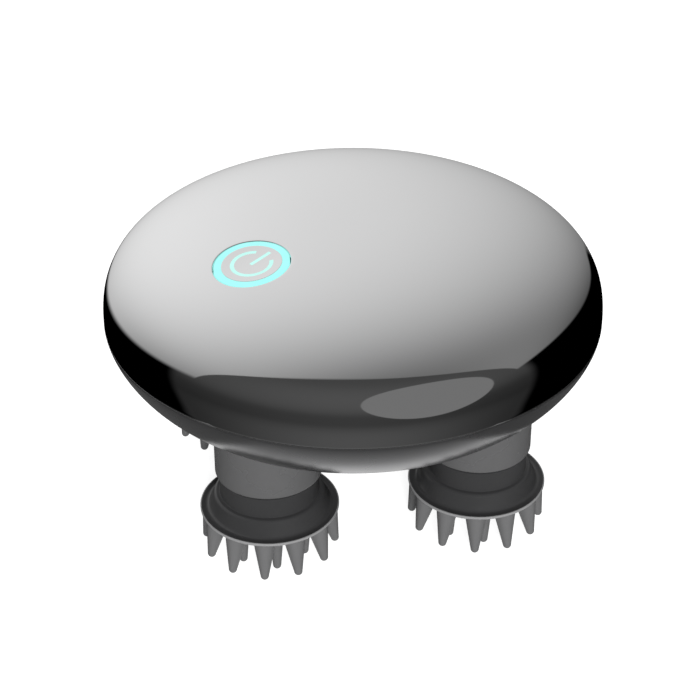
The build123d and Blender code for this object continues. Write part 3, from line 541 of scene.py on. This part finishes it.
def recess_seat(place):
    """The washer-shaped top of a recess, which the screw's head bears on."""
    return upright_tube(place, SCREW_HOLE, RECESS_RADIUS + RECESS_WALL,
                        lambda distance: RECESS_TOP, RECESS_TOP + RECESS_SEAT)


satin_lacquer = finish_material(
    "satin_lacquer", colour=(0.34, 0.34, 0.345), second=(0.31, 0.31, 0.315), metallic=1.0,
    roughness=(0.24, 0.30), patch_scale=35.0, grain_scale=6000.0, bump=0.12)
quarter_turns = [k * math.pi / 2 for k in range(4)]
screw_places = [(SCREW_RING * math.cos(turn), SCREW_RING * math.sin(turn)) for turn in quarter_turns]
bowl_skin = surface("bowl_skin", [(bowl_grid(), True)])
carved(bowl_skin, [recess_cutter(number, place) for number, place in enumerate(screw_places)])
bowl_skin.data.materials.append(satin_lacquer)
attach(bowl_skin, "casing")
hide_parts("lower_shell")

cup_patches = [(make(place), True) for make in (recess_cup, recess_seat) for place in screw_places]
recess_cups = surface("recess_cups", cup_patches)
recess_cups.data.materials.append(satin_lacquer)
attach(recess_cups, "casing")
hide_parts("lower_shell")


# ---- Necks ----
# Four round stubs under the bowl, moulded with it in the same plastic but left
# without lacquer. Each flares into the bowl and houses a head's lower bush.

NECK_RING = 36.0
NECK_RADIUS = 12.7
NECK_HEIGHT = 23.35
NECK_EDGE = 0.7
NECK_BORE = 4.52
NECK_FLARE = 0.6
FLARE_START = 0.8 * NECK_FLARE
FLARE_PULL = 0.55 * NECK_FLARE
FLARE_SINK = 0.25
NECK_INSIDE = 1.0
NECK_INSIDE_SINK = 0.6
BORE_DEPTHS = (26.0, 25.5)
NECK_COLUMNS = 144
EDGE_ROWS = 9
WALL_ROWS = 8
FLARE_ROWS = 16
SLOPE_STEP = 0.1


def neck_grid(azimuth):
    """Round the neck's axis, from the bore up the outside: the flat rim, a rounded
    edge, the wall, and a cubic curve that leaves the wall upwards and meets the
    bowl along its slope. The path returns inside the wall."""
    phi = around(NECK_COLUMNS)[None, :]
    centre = NECK_RING * np.array([math.cos(azimuth), math.sin(azimuth)])

    def bowl_at(distance):
        """The bowl's height above a circle round the neck's axis."""
        return bowl_height(np.hypot(*round_axis(centre, distance, phi)))

    bend = np.linspace(0, np.pi / 2, EDGE_ROWS)[:, None]
    edge = NECK_RADIUS - NECK_EDGE + NECK_EDGE * np.sin(bend)
    edge_height = NECK_HEIGHT + NECK_EDGE - NECK_EDGE * np.cos(bend)

    end = NECK_RADIUS + NECK_FLARE
    slope = (bowl_at(end + SLOPE_STEP) - bowl_at(end - SLOPE_STEP)) / (2 * SLOPE_STEP)
    start_height = bowl_at(NECK_RADIUS) - FLARE_START
    end_height = bowl_at(end) + FLARE_SINK
    t = np.linspace(0, 1, FLARE_ROWS)[:, None]
    weights = ((1 - t) ** 3, 3 * t * (1 - t) ** 2, 3 * t ** 2 * (1 - t), t ** 3)
    reaches = (NECK_RADIUS, NECK_RADIUS, end - FLARE_PULL, end)
    heights = (start_height, start_height + FLARE_PULL, end_height - FLARE_PULL * slope, end_height)
    flare = sum(weight * reach for weight, reach in zip(weights, reaches))
    flare_height = sum(weight * height for weight, height in zip(weights, heights))

    share = np.linspace(0, 1, WALL_ROWS)[1:-1, None]
    wall_height = (NECK_HEIGHT + NECK_EDGE) * (1 - share) + start_height * share
    inside = NECK_RADIUS - NECK_INSIDE
    column = np.ones_like(phi)
    radius = np.concatenate([
        NECK_BORE * column, edge * column, NECK_RADIUS * column + 0 * share, flare * column,
        inside * column, (NECK_BORE + NECK_INSIDE) * column, NECK_BORE * column])
    height = np.concatenate([
        NECK_HEIGHT * column, edge_height * column, wall_height, flare_height,
        bowl_at(inside) + NECK_INSIDE_SINK, BORE_DEPTHS[0] * column, BORE_DEPTHS[1] * column])
    x, y = round_axis(centre, radius, phi)
    return as_grid(x, y, height)


neck_plastic = finish_material(
    "neck_plastic", colour=(0.16, 0.16, 0.162), second=(0.14, 0.14, 0.142), metallic=0.3,
    roughness=(0.24, 0.30), patch_scale=60.0, grain_scale=5000.0, bump=0.2)
HEAD_AZIMUTHS = [math.radians(45 + 90 * k) for k in range(4)]
for number, azimuth in enumerate(HEAD_AZIMUTHS, 1):
    neck = surface(f"neck_{number}", [(neck_grid(azimuth), True)])
    neck.data.materials.append(neck_plastic)
    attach(neck, "casing")
    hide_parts("lower_shell")


# ---- Silicone claws ----
# A soft cap on each rotating head, moulded in dark silicone with three rings of
# round-ended teeth. The collar and the dished top of the flange are painted
# darker, a painted shade under the body; the rim is a pale painted highlight.

FLANGE_RADIUS = 16.6
FLANGE_TOP = 13.5
FLANGE_BOTTOM = 12.7
DISH_RADIUS = 15.1
CUFF_RADIUS = 12.75
CUFF_TOP = 17.5
COLLAR_RADIUS = 11.8
CLAW_TOP = 22.75
HUB_BOTTOM = 16.0
HUB_HOLLOW = 9.1
# The rim band and the margin mark where the painted highlight and the painted shade go.
RIM_HIGHLIGHT_BAND = 0.25
PAINTED_LIGHT_MARGIN = 0.1
CLAW_COLUMNS = 120
CORNER_ROWS = 6
TOOTH_TIP = 1.0
TOOTH_ROOT_SINK = (0.9, 0.3)
TOOTH_COLUMNS = 32
TIP_ROWS = 7
CONE_ROWS = 9
OUTER_TEETH = {"count": 12, "ring": 15.5, "phase": math.radians(-104.6),
               "root": 2.75, "lift": 2.4, "lean": math.radians(12.2)}
MIDDLE_TEETH = {"count": 6, "ring": 8.6, "phase": math.radians(-89.6), "root": 1.9, "lift": 0.0, "lean": 0.0}
CENTRE_TEETH = {"count": 3, "ring": 3.1, "phase": math.radians(-89.6), "root": 1.9, "lift": 0.0, "lean": 0.0}


def rounded(corners):
    """A profile through corners (r, z, rounding): each corner is replaced by a
    quadratic curve between points its rounding away along the two sides."""
    line = []
    t = np.linspace(0, 1, CORNER_ROWS)[:, None]
    points = np.array([corner[:2] for corner in corners], dtype=float)
    for k, corner in enumerate(corners):
        here, size = points[k], corner[2]
        if size == 0:
            line.append(here[None])
            continue
        before, after = points[k - 1], points[k + 1]
        into = here + (before - here) / np.linalg.norm(before - here) * size
        out = here + (after - here) / np.linalg.norm(after - here) * size
        line.append((1 - t) ** 2 * into + 2 * t * (1 - t) * here + t ** 2 * out)
    return np.concatenate(line)


def claw_profile():
    """The claw's cap from the middle of its underside round to the hub's hollow:
    flange, raised lip, dish, the cuff's hollow flank and top, and the collar."""
    flange = [(0, FLANGE_BOTTOM, 0), (FLANGE_RADIUS - 0.3, FLANGE_BOTTOM, 0.1),
              (FLANGE_RADIUS, FLANGE_BOTTOM + 0.35, 0.15)]
    lip = [(FLANGE_RADIUS, FLANGE_TOP + 0.05, 0.12), (FLANGE_RADIUS - 0.4, FLANGE_TOP + 0.08, 0.2)]
    dish = [(DISH_RADIUS, FLANGE_TOP, 0.5), (DISH_RADIUS - 0.6, FLANGE_TOP + 0.25, 0.5)]
    cuff = [(CUFF_RADIUS + 1.05, CUFF_TOP - 2.3, 0.9), (CUFF_RADIUS + 0.45, CUFF_TOP - 0.5, 0.3),
            (CUFF_RADIUS, CUFF_TOP, 0.3), (COLLAR_RADIUS + 0.05, CUFF_TOP + 0.15, 0.2)]
    collar = [(COLLAR_RADIUS, CLAW_TOP, 0.35), (HUB_HOLLOW, CLAW_TOP, 0)]
    hollow = [(HUB_HOLLOW, HUB_BOTTOM, 0), (0, HUB_BOTTOM, 0)]
    return rounded(flange + lip + dish + cuff + collar + hollow)


def cap_of_claw():
    """The claw's profile turned about an upright axis."""
    profile = claw_profile()
    x, y = round_axis((0, 0), profile[:, :1], around(CLAW_COLUMNS)[None, :])
    return as_grid(x, y, profile[:, 1:])


def tooth_grid(azimuth, ring, root, lift, lean):
    """A ball end of radius 1 mm and a cone that reaches its root radius at the
    flange's underside, turned about its own axis, which leans in from the ball's
    centre. The cone ends level, inside the flange."""
    bend = np.linspace(-np.pi / 2, 0, TIP_ROWS)
    length = (FLANGE_BOTTOM - lift - TOOTH_TIP) / math.cos(lean)
    rise = np.linspace(0, 1, CONE_ROWS)[1:]
    end = length + TOOTH_ROOT_SINK[0]
    cone = TOOTH_TIP + (root - TOOTH_TIP) * rise
    along = np.concatenate([TOOTH_TIP * np.sin(bend), length * rise, [end, end]])[:, None]
    radius = np.concatenate([TOOTH_TIP * np.cos(bend), cone, [root, 0]])[:, None]
    radius[0] = 0
    phi = around(TOOTH_COLUMNS)[None, :]
    u, v, w = radius * np.cos(phi), radius * np.sin(phi), along + 0 * phi
    out = ring + u * math.cos(lean) - w * math.sin(lean)
    height = lift + TOOTH_TIP + u * math.sin(lean) + w * math.cos(lean)
    height = np.minimum(height, FLANGE_BOTTOM + TOOTH_ROOT_SINK[1])
    x = out * math.cos(azimuth) - v * math.sin(azimuth)
    y = out * math.sin(azimuth) + v * math.cos(azimuth)
    return as_grid(x, y, height)


def ring_of_teeth(count, phase, **tooth):
    """Equal teeth in equal steps round the claw's axis, the first at the phase."""
    return [(tooth_grid(phase + 2 * math.pi * k / count, **tooth), False) for k in range(count)]


def claw_silicone(name, colour, second, roughness):
    """One tone of the claws' silicone, the darker one painted shade and the paler one a painted highlight:
    dull, with a fine grain.
    """
    return finish_material(name, colour, second, roughness, patch_scale=90.0, grain_scale=3500.0, bump=0.3)


def shade_and_highlight_of_face(claw, centre):
    """Which silicone each face shows: 2, a painted highlight, on the flange's rim;
    1, the silicone's own grey, below the flange's top; and 0, a painted shade, on
    the dish and the collar."""
    places = np.empty(3 * len(claw.data.polygons))
    claw.data.polygons.foreach_get("center", places)
    places = places.reshape(-1, 3) / MM
    from_axis = np.hypot(places[:, 0] - centre[0], places[:, 1] - centre[1])
    height = places[:, 2]
    rim_highlight_mask = (from_axis > FLANGE_RADIUS - RIM_HIGHLIGHT_BAND) & (height > FLANGE_BOTTOM + PAINTED_LIGHT_MARGIN)
    return np.where(rim_highlight_mask, 2, np.where(height < FLANGE_TOP - PAINTED_LIGHT_MARGIN, 1, 0)).astype(np.int32)


# The darkest silicone is painted shade on the dish and collar under the body; the palest is a painted
# highlight on the flange's rim.
shaded_silicone = claw_silicone("shaded_silicone", (0.042, 0.042, 0.043), (0.034, 0.034, 0.035), (0.32, 0.42))
grey_silicone = claw_silicone("grey_silicone", (0.155, 0.155, 0.157), (0.14, 0.14, 0.142), (0.30, 0.40))
rim_highlight_silicone = claw_silicone("rim_highlight_silicone", (0.30, 0.30, 0.303), (0.27, 0.27, 0.273), (0.30, 0.40))
claw_patches = [(cap_of_claw(), False)]
for teeth in (OUTER_TEETH, MIDDLE_TEETH, CENTRE_TEETH):
    claw_patches += ring_of_teeth(**teeth)
for number, azimuth in enumerate(HEAD_AZIMUTHS, 1):
    centre = NECK_RING * np.array([math.cos(azimuth), math.sin(azimuth), 0])
    claw = surface(f"claw_{number}", [(grid + centre, wrap_rows) for grid, wrap_rows in claw_patches])
    for silicone in (shaded_silicone, grey_silicone, rim_highlight_silicone):
        claw.data.materials.append(silicone)
    claw.data.polygons.foreach_set("material_index", shade_and_highlight_of_face(claw, centre))
    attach(claw, f"massage_head_{number}")
    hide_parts(f"silicone_claw_{number}")


# ---- Head shafts ----
# Each steel shaft turns in a bronze bush in its neck and another in the gearbox
# plate. A slotted clip over that one carries it, and the claw's hub sits on it.


def dress(material, *nodes):
    """Gives a material to CAD nodes that keep their drawn shape."""
    for node in nodes:
        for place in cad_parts[node].material_slots:
            place.material = material


def four(name):
    """The nodes of a piece that each head has."""
    return [f"{name}_{number}" for number in range(1, 5)]


axle_steel = finish_material(
    "axle_steel", colour=(0.60, 0.60, 0.61), second=(0.52, 0.52, 0.53), metallic=1.0,
    roughness=(0.18, 0.28), patch_scale=300.0, grain_scale=5000.0, bump=0.1)
bronze = finish_material(
    "bronze", colour=(0.62, 0.42, 0.18), second=(0.50, 0.33, 0.14), metallic=1.0,
    roughness=(0.35, 0.5), patch_scale=500.0, grain_scale=6000.0, bump=0.3)
white_plastic = finish_material(
    "white_plastic", colour=(0.78, 0.78, 0.75), second=(0.72, 0.72, 0.70),
    roughness=(0.4, 0.5), patch_scale=120.0, grain_scale=3000.0, bump=0.15)
dress(axle_steel, *four("head_shaft"), *four("retaining_clip"))
dress(bronze, "lower_bushes", "upper_bushes")
dress(white_plastic, *four("claw_hub"))


# ---- Seals ----
# A gasket ring lies inside the seam between the shells, and a seal round each
# head's shaft keeps hair and water out. All are moulded in black rubber.

black_rubber = finish_material(
    "black_rubber", colour=(0.02, 0.02, 0.02), second=(0.03, 0.03, 0.03),
    roughness=(0.6, 0.75), patch_scale=300.0, grain_scale=4000.0, bump=0.3)
dress(black_rubber, "seam_gasket", "shaft_seals")


# ---- Gear train ----
# The motor's bronze pinion drives two idlers, the sun gear and the four head
# gears, moulded in white bearing plastic. They turn on steel pins and shafts,
# and a moulded grey plate holds the pins.

gear_plastic = finish_material(
    "gear_plastic", colour=(0.80, 0.79, 0.72), second=(0.75, 0.74, 0.66),
    roughness=(0.3, 0.42), patch_scale=150.0, grain_scale=2500.0, bump=0.1)
grey_plastic = finish_material(
    "grey_plastic", colour=(0.30, 0.31, 0.32), second=(0.27, 0.28, 0.29),
    roughness=(0.45, 0.55), patch_scale=100.0, grain_scale=3000.0, bump=0.2)
dress(gear_plastic, "first_idler", "second_idler", "sun_gear", *four("head_gear"))
dress(bronze, "motor_pinion")
dress(axle_steel, "idler_pins", "sun_axle")
dress(grey_plastic, "gearbox_plate")


# ---- Motor ----
# A small brushed motor: a drawn steel can with magnets in it, an iron rotor in
# copper brown, and a white plastic end cap. Screws hold it to a steel bracket.

motor_steel = finish_material(
    "motor_steel", colour=(0.62, 0.61, 0.58), second=(0.54, 0.53, 0.50), metallic=1.0,
    roughness=(0.25, 0.36), patch_scale=120.0, grain_scale=2500.0, bump=0.15)
bracket_steel = finish_material(
    "bracket_steel", colour=(0.55, 0.56, 0.58), second=(0.46, 0.47, 0.50), metallic=1.0,
    roughness=(0.3, 0.42), patch_scale=90.0, grain_scale=2500.0, bump=0.2)
magnet = finish_material(
    "magnet", colour=(0.06, 0.06, 0.065), second=(0.09, 0.09, 0.09), metallic=0.6,
    roughness=(0.45, 0.6), patch_scale=400.0, grain_scale=3000.0, bump=0.3)
rotor_iron = finish_material(
    "rotor_iron", colour=(0.35, 0.16, 0.07), second=(0.28, 0.12, 0.05), metallic=0.8,
    roughness=(0.35, 0.5), patch_scale=700.0, grain_scale=3000.0, bump=0.3)
dress(motor_steel, "motor_can")
dress(bracket_steel, "motor_bracket")
dress(magnet, "motor_magnets")
dress(rotor_iron, "motor_rotor")
dress(axle_steel, "motor_shaft")
dress(white_plastic, "motor_end_cap")


# ---- Battery ----
# A flat lithium cell in a silvery foil pouch. It lies in a tray of the same
# moulded grey plastic as the gearbox plate.

battery_foil = finish_material(
    "battery_foil", colour=(0.58, 0.60, 0.63), second=(0.50, 0.52, 0.56), metallic=0.9,
    roughness=(0.25, 0.4), patch_scale=70.0, grain_scale=900.0, bump=0.4)
dress(battery_foil, "battery")
dress(grey_plastic, "battery_tray")


# ---- Boards ----
# Two green circuit boards with black chips, six white lights under the ring, a
# metal-capped switch and a steel charging socket, all soldered in place.

circuit_board = finish_material(
    "circuit_board", colour=(0.01, 0.14, 0.06), second=(0.02, 0.18, 0.08),
    roughness=(0.3, 0.4), patch_scale=220.0, grain_scale=2500.0, bump=0.15)
black_plastic = finish_material(
    "black_plastic", colour=(0.02, 0.02, 0.02), second=(0.03, 0.03, 0.03),
    roughness=(0.4, 0.5), patch_scale=200.0, grain_scale=3000.0, bump=0.15)
led_white = finish_material(
    "led_white", colour=(0.85, 0.85, 0.75), second=(0.8, 0.8, 0.7),
    roughness=(0.25, 0.35), patch_scale=500.0, grain_scale=4000.0, bump=0.1)
switch_metal = finish_material(
    "switch_metal", colour=(0.6, 0.6, 0.6), second=(0.5, 0.5, 0.5), metallic=1.0,
    roughness=(0.25, 0.35), patch_scale=300.0, grain_scale=4000.0, bump=0.1)
socket_steel = finish_material(
    "socket_steel", colour=(0.62, 0.62, 0.63), second=(0.55, 0.55, 0.56), metallic=1.0,
    roughness=(0.2, 0.3), patch_scale=300.0, grain_scale=4000.0, bump=0.1)
dress(circuit_board, "main_board", "charging_board")
dress(black_plastic, "board_chips")
dress(led_white, "ring_lights")
dress(switch_metal, "tact_switch")
dress(socket_steel, "charging_socket")


# ---- Button carrier ----
# A white moulded carrier under the cap holds the light ring, and its black stem
# passes the press on to the switch.

dress(white_plastic, "button_carrier")
dress(black_plastic, "switch_stem")


# ---- Leads and screws ----
# Red insulated leads join the motor, the battery and the charging board to the
# main board. Plated steel screws hold the shells, plate, bracket and boards.

lead_insulation = finish_material(
    "lead_insulation", colour=(0.40, 0.02, 0.02), second=(0.33, 0.015, 0.015),
    roughness=(0.4, 0.5), patch_scale=300.0, grain_scale=3000.0, bump=0.1)
screw_steel = finish_material(
    "screw_steel", colour=(0.42, 0.42, 0.44), second=(0.34, 0.34, 0.36), metallic=1.0,
    roughness=(0.28, 0.42), patch_scale=400.0, grain_scale=4000.0, bump=0.2)
dress(lead_insulation, "inner_leads")
dress(screw_steel, "shell_screws", "plate_screws", "bracket_screws", "motor_screws", "board_screws")


# ---- Floor ----
# A plain white table top, large enough to fill the view. It keeps the soft
# shadow under the teeth and stays out of the plating's reflections.

FLOOR_HALF = 4
FLOOR_GLOW = 0.85


def matt_board(name, colour, second):
    """A matt painted board, with no shine of its own."""
    material = finish_material(name, colour, second, (0.8, 0.9), patch_scale=3.0, grain_scale=60.0, bump=0.02)
    material.node_tree.nodes["Principled BSDF"].inputs["Specular IOR Level"].default_value = 0.0
    return material


def flat_sheet(name, corners, height, material):
    """A flat sheet of one face, its plan corners and its height in metres."""
    mesh = bpy.data.meshes.new(name)
    mesh.from_pydata([(x, y, height) for x, y in corners], [], [(0, 1, 2, 3)])
    mesh.materials.append(material)
    sheet = bpy.data.objects.new(name, mesh)
    bpy.context.collection.objects.link(sheet)
    return sheet


def seen_or_mirrored(tree):
    """A socket that is 1 for camera, glossy and transmission rays and 0 for others."""
    rays = tree.nodes.new("ShaderNodeLightPath")
    seen = rays.outputs["Is Camera Ray"]
    for kind in ("Is Glossy Ray", "Is Transmission Ray"):
        either = tree.nodes.new("ShaderNodeMath")
        either.operation = "MAXIMUM"
        tree.links.new(seen, either.inputs[0])
        tree.links.new(rays.outputs[kind], either.inputs[1])
        seen = either.outputs[0]
    return seen


white_table = matt_board("white_table", (0.62, 0.62, 0.62), (0.60, 0.60, 0.60))
table_tree = white_table.node_tree
table_shader = table_tree.nodes["Principled BSDF"]
table_shader.inputs["Emission Color"].default_value = (1, 1, 1, 1)
table_glow = table_tree.nodes.new("ShaderNodeMath")
table_glow.operation = "MULTIPLY"
table_glow.inputs[1].default_value = FLOOR_GLOW
table_tree.links.new(seen_or_mirrored(table_tree), table_glow.inputs[0])
table_tree.links.new(table_glow.outputs[0], table_shader.inputs["Emission Strength"])
floor_corners = [(x * FLOOR_HALF, y * FLOOR_HALF) for x, y in ((-1, -1), (1, -1), (1, 1), (-1, 1))]
floor = flat_sheet("floor", floor_corners, 0, white_table)
floor.visible_glossy = False


# ---- Light tent ----
# A wide black tent that only the gloss sees. It has a pale ceiling that fades to
# one side, a dark-grey panel with a round lamp on the camera's side, and a lit
# ground. Places in it are shares of a direction: to the side, ahead and upward.

TENT_RADIUS = 5000.0
TENT_ROWS = 25
TENT_COLUMNS = 48
CAMERA_AZIMUTH = math.radians(-101.43)
ASIDE = np.array([-math.sin(CAMERA_AZIMUTH), math.cos(CAMERA_AZIMUTH), 0])
AHEAD = np.array([-math.cos(CAMERA_AZIMUTH), -math.sin(CAMERA_AZIMUTH), 0])
CEILING_LIMITS = (0.05, 1.1)
PANEL_LEVELS = (
    (0.0, 0.06), (0.20, 0.088), (0.27, 0.086), (0.33, 0.070), (0.38, 0.052), (0.44, 0.049),
    (0.50, 0.052), (0.59, 0.077), (0.68, 0.090), (0.84, 0.088), (0.94, 0.065), (1.0, 0.06))
LAMP_DIRECTION = (0.5189, -0.7918, 0.3220)
LAMP_EDGE = (0.878, 0.885)
LAMP_LEVEL = 0.20
GROUND_LEVELS = ((0.0, 0.9), (0.55, 0.05), (0.63, 0.14), (0.70, 0.27), (0.77, 0.51), (0.82, 0.9), (1.0, 0.9))
SIDE_FLOOR = 0.3

tent_cloth = bpy.data.materials.new("light_tent")
tent_cloth.use_nodes = True
tent_nodes = tent_cloth.node_tree.nodes
tent_links = tent_cloth.node_tree.links
tent_nodes.clear()


def calculated(operation, *values):
    """A Math node over numbers and sockets."""
    node = tent_nodes.new("ShaderNodeMath")
    node.operation = operation
    for socket, value in zip(node.inputs, values):
        if isinstance(value, (int, float)):
            socket.default_value = value
        else:
            tent_links.new(value, socket)
    return node.outputs[0]


def total(result, *terms):
    """The sum of numbers and sockets."""
    for term in terms:
        result = calculated("ADD", result, term)
    return result


def product(result, *factors):
    """The product of numbers and sockets."""
    for factor in factors:
        result = calculated("MULTIPLY", result, factor)
    return result


def blend(share, without, within):
    """without * (1 - share) + within * share"""
    return total(product(without, calculated("SUBTRACT", 1.0, share)), product(within, share))


def step(value, start, end):
    """0 at the start, 1 at the end, and a smooth step between them."""
    node = tent_nodes.new("ShaderNodeMapRange")
    node.interpolation_type = "SMOOTHSTEP"
    tent_links.new(value, node.inputs["Value"])
    node.inputs["From Min"].default_value = start
    node.inputs["From Max"].default_value = end
    return node.outputs["Result"]


def curve(value, levels):
    """A smooth curve through (value, level) pairs."""
    node = tent_nodes.new("ShaderNodeFloatCurve")
    line = node.mapping.curves[0]
    line.points[0].location = levels[0]
    line.points[1].location = levels[1]
    for place, level in levels[2:]:
        line.points.new(place, level)
    node.mapping.update()
    tent_links.new(value, node.inputs["Value"])
    return node.outputs["Value"]


def share_along(unit, direction):
    """How much of a unit vector lies along a direction."""
    node = tent_nodes.new("ShaderNodeVectorMath")
    node.operation = "DOT_PRODUCT"
    tent_links.new(unit, node.inputs[0])
    node.inputs[1].default_value = direction
    return node.outputs["Value"]


def tent_direction():
    """The side, ahead and upward shares of a tent point's direction."""
    place = tent_nodes.new("ShaderNodeTexCoord")
    unit = tent_nodes.new("ShaderNodeVectorMath")
    unit.operation = "NORMALIZE"
    tent_links.new(place.outputs["Object"], unit.inputs[0])
    return [share_along(unit.outputs["Vector"], direction) for direction in (ASIDE, AHEAD, (0, 0, 1))]


def ceiling_level(side, ahead, height):
    """A polynomial of the shares, brightest ahead and to the left, between limits."""
    level = total(-0.13, product(0.42, ahead), product(0.40, ahead, ahead), product(-0.39, side),
                  product(-0.27, side, ahead), product(0.30, side, side), product(0.29, side, side, side),
                  product(-0.32, ahead, side, side), product(0.53, height))
    return calculated("MINIMUM", calculated("MAXIMUM", level, CEILING_LIMITS[0]), CEILING_LIMITS[1])


def panel_level(side, ahead, height):
    """A curve of the height times 1 + side ** 2 * (-0.45 + 0.60 h - 1.02 h ** 2),
    with the lamp's round disc at a level of its own."""
    fade = total(-0.45, product(0.60, height), product(-1.02, height, height))
    fade = calculated("MAXIMUM", total(1.0, product(fade, side, side)), SIDE_FLOOR)
    level = product(curve(calculated("MULTIPLY_ADD", height, 0.5, 0.5), PANEL_LEVELS), fade)
    shares = zip(LAMP_DIRECTION, (side, ahead, height))
    to_lamp = total(*[product(weight, share) for weight, share in shares])
    return blend(step(to_lamp, *LAMP_EDGE), level, LAMP_LEVEL)


def ground_level(side, ahead, height):
    """A curve of the angle from straight ahead, over the top and round by the
    camera, times 1 - 0.9 * side ** 2."""
    turn = calculated("DIVIDE", calculated("ARCTAN2", height, ahead), 2 * math.pi)
    turn = calculated("FRACT", total(turn, 1.0))
    fade = calculated("MULTIPLY_ADD", product(side, side), -0.9, 1.0)
    return product(curve(turn, GROUND_LEVELS), calculated("MAXIMUM", fade, SIDE_FLOOR))


def over_horizon(side, ahead, height):
    """1 over the ceiling's lower edge and 0 below it. The edge's height is one
    quadratic of ahead on the left and another, drawn sharper, on the right."""
    to_right = step(side, 0.25, 0.5)
    left_edge = total(0.09, product(-0.40, ahead), product(-0.12, ahead, ahead))
    right_edge = total(0.33, product(-0.05, ahead), product(-0.58, ahead, ahead))
    over = calculated("SUBTRACT", height, blend(to_right, left_edge, right_edge))
    softness = calculated("MULTIPLY_ADD", to_right, -0.035, 0.06)
    return step(calculated("DIVIDE", over, softness), -1.2, 0.8)


def tent_level(side, ahead, height):
    """The tent's brightness: black below the horizon but for the ground and the
    panel, and over it the ceiling, which gives way to the panel near the camera."""
    panel = panel_level(side, ahead, height)
    low = blend(step(ahead, -0.08, -0.2), 0.0, panel)
    low = blend(step(height, -0.60, -0.78), low, ground_level(side, ahead, height))
    front_edge = total(-0.44, product(0.055, side), product(0.19, side, side))
    in_ceiling = step(calculated("SUBTRACT", ahead, front_edge), -0.006, 0.006)
    high = blend(in_ceiling, panel, ceiling_level(side, ahead, height))
    level = blend(over_horizon(side, ahead, height), low, high)
    near_camera = product(step(ahead, -0.40, -0.46), step(height, -0.70, -0.56))
    return blend(near_camera, level, panel)


def gloss_only(thing):
    """Leaves a thing to reflections: nothing else sees it or is shaded by it."""
    for ray in ("camera", "diffuse", "transmission", "volume_scatter", "shadow"):
        setattr(thing, f"visible_{ray}", False)


tent_glow = tent_nodes.new("ShaderNodeEmission")
tent_links.new(tent_level(*tent_direction()), tent_glow.inputs["Strength"])
tent_output = tent_nodes.new("ShaderNodeOutputMaterial")
tent_links.new(tent_glow.outputs["Emission"], tent_output.inputs["Surface"])
latitude = np.linspace(-np.pi / 2, np.pi / 2, TENT_ROWS)[:, None]
tent_x, tent_y = round_axis((0, 0), TENT_RADIUS * np.cos(latitude), around(TENT_COLUMNS)[None, :])
tent = surface("light_tent", [(as_grid(tent_x, tent_y, TENT_RADIUS * np.sin(latitude)), False)])
tent.data.materials.append(tent_cloth)
gloss_only(tent)


# ---- Grey cards ----
# Two dark-grey cards lie on the table beside the claws. Only the gloss sees
# them: they keep the bowl's left and right ends dark.

CARD_HEIGHT = 0.0002
CARD_FRONT = -0.07
CARD_BACK = 0.03
CARD_SIDES = {"left_card": (-0.090, -0.044), "right_card": (0.052, 0.090)}

card_grey = matt_board("card_grey", (0.16, 0.16, 0.16), (0.15, 0.15, 0.15))
for name, (left, right) in CARD_SIDES.items():
    plan = ((left, CARD_FRONT), (right, CARD_FRONT), (right, CARD_BACK), (left, CARD_BACK))
    card = flat_sheet(name, [(ASIDE * x + AHEAD * y)[:2] for x, y in plan], CARD_HEIGHT, card_grey)
    gloss_only(card)


# ---- Lamps and sky ----
# Two large soft lamps and an even sky, at a level where a colour renders as it
# is written. The gloss doesn't see the lamps, and the sky itself looks white.

LAMP_AIM = Vector((0, 0, 0.03))
SKY_STRENGTH = 0.17


def soft_lamp(name, place, size, power):
    """A round lamp that faces the object's middle."""
    light = bpy.data.lights.new(name, "AREA")
    light.shape = "DISK"
    light.size = size
    light.energy = power
    lamp = bpy.data.objects.new(name, light)
    bpy.context.collection.objects.link(lamp)
    lamp.rotation_euler = (LAMP_AIM - Vector(place)).to_track_quat("-Z", "Y").to_euler()
    lamp.location = place
    lamp.visible_glossy = False


soft_lamp("top_lamp", place=(-0.35, 0.25, 1.5), size=1.2, power=8.0)
soft_lamp("front_lamp", place=(-0.10, -1.40, 0.64), size=0.6, power=25.0)

world = bpy.data.worlds.new("sky")
bpy.context.scene.world = world
world.use_nodes = True
sky_nodes, sky_links = world.node_tree.nodes, world.node_tree.links
sky_nodes.clear()
strength = sky_nodes.new("ShaderNodeMapRange")
strength.inputs["To Min"].default_value = SKY_STRENGTH
strength.inputs["To Max"].default_value = 1.0
sky_links.new(seen_or_mirrored(world.node_tree), strength.inputs["Value"])
sky = sky_nodes.new("ShaderNodeBackground")
sky.inputs["Color"].default_value = (1, 1, 1, 1)
sky_links.new(strength.outputs["Result"], sky.inputs["Strength"])
sky_output = sky_nodes.new("ShaderNodeOutputWorld")
sky_links.new(sky.outputs["Background"], sky_output.inputs["Surface"])
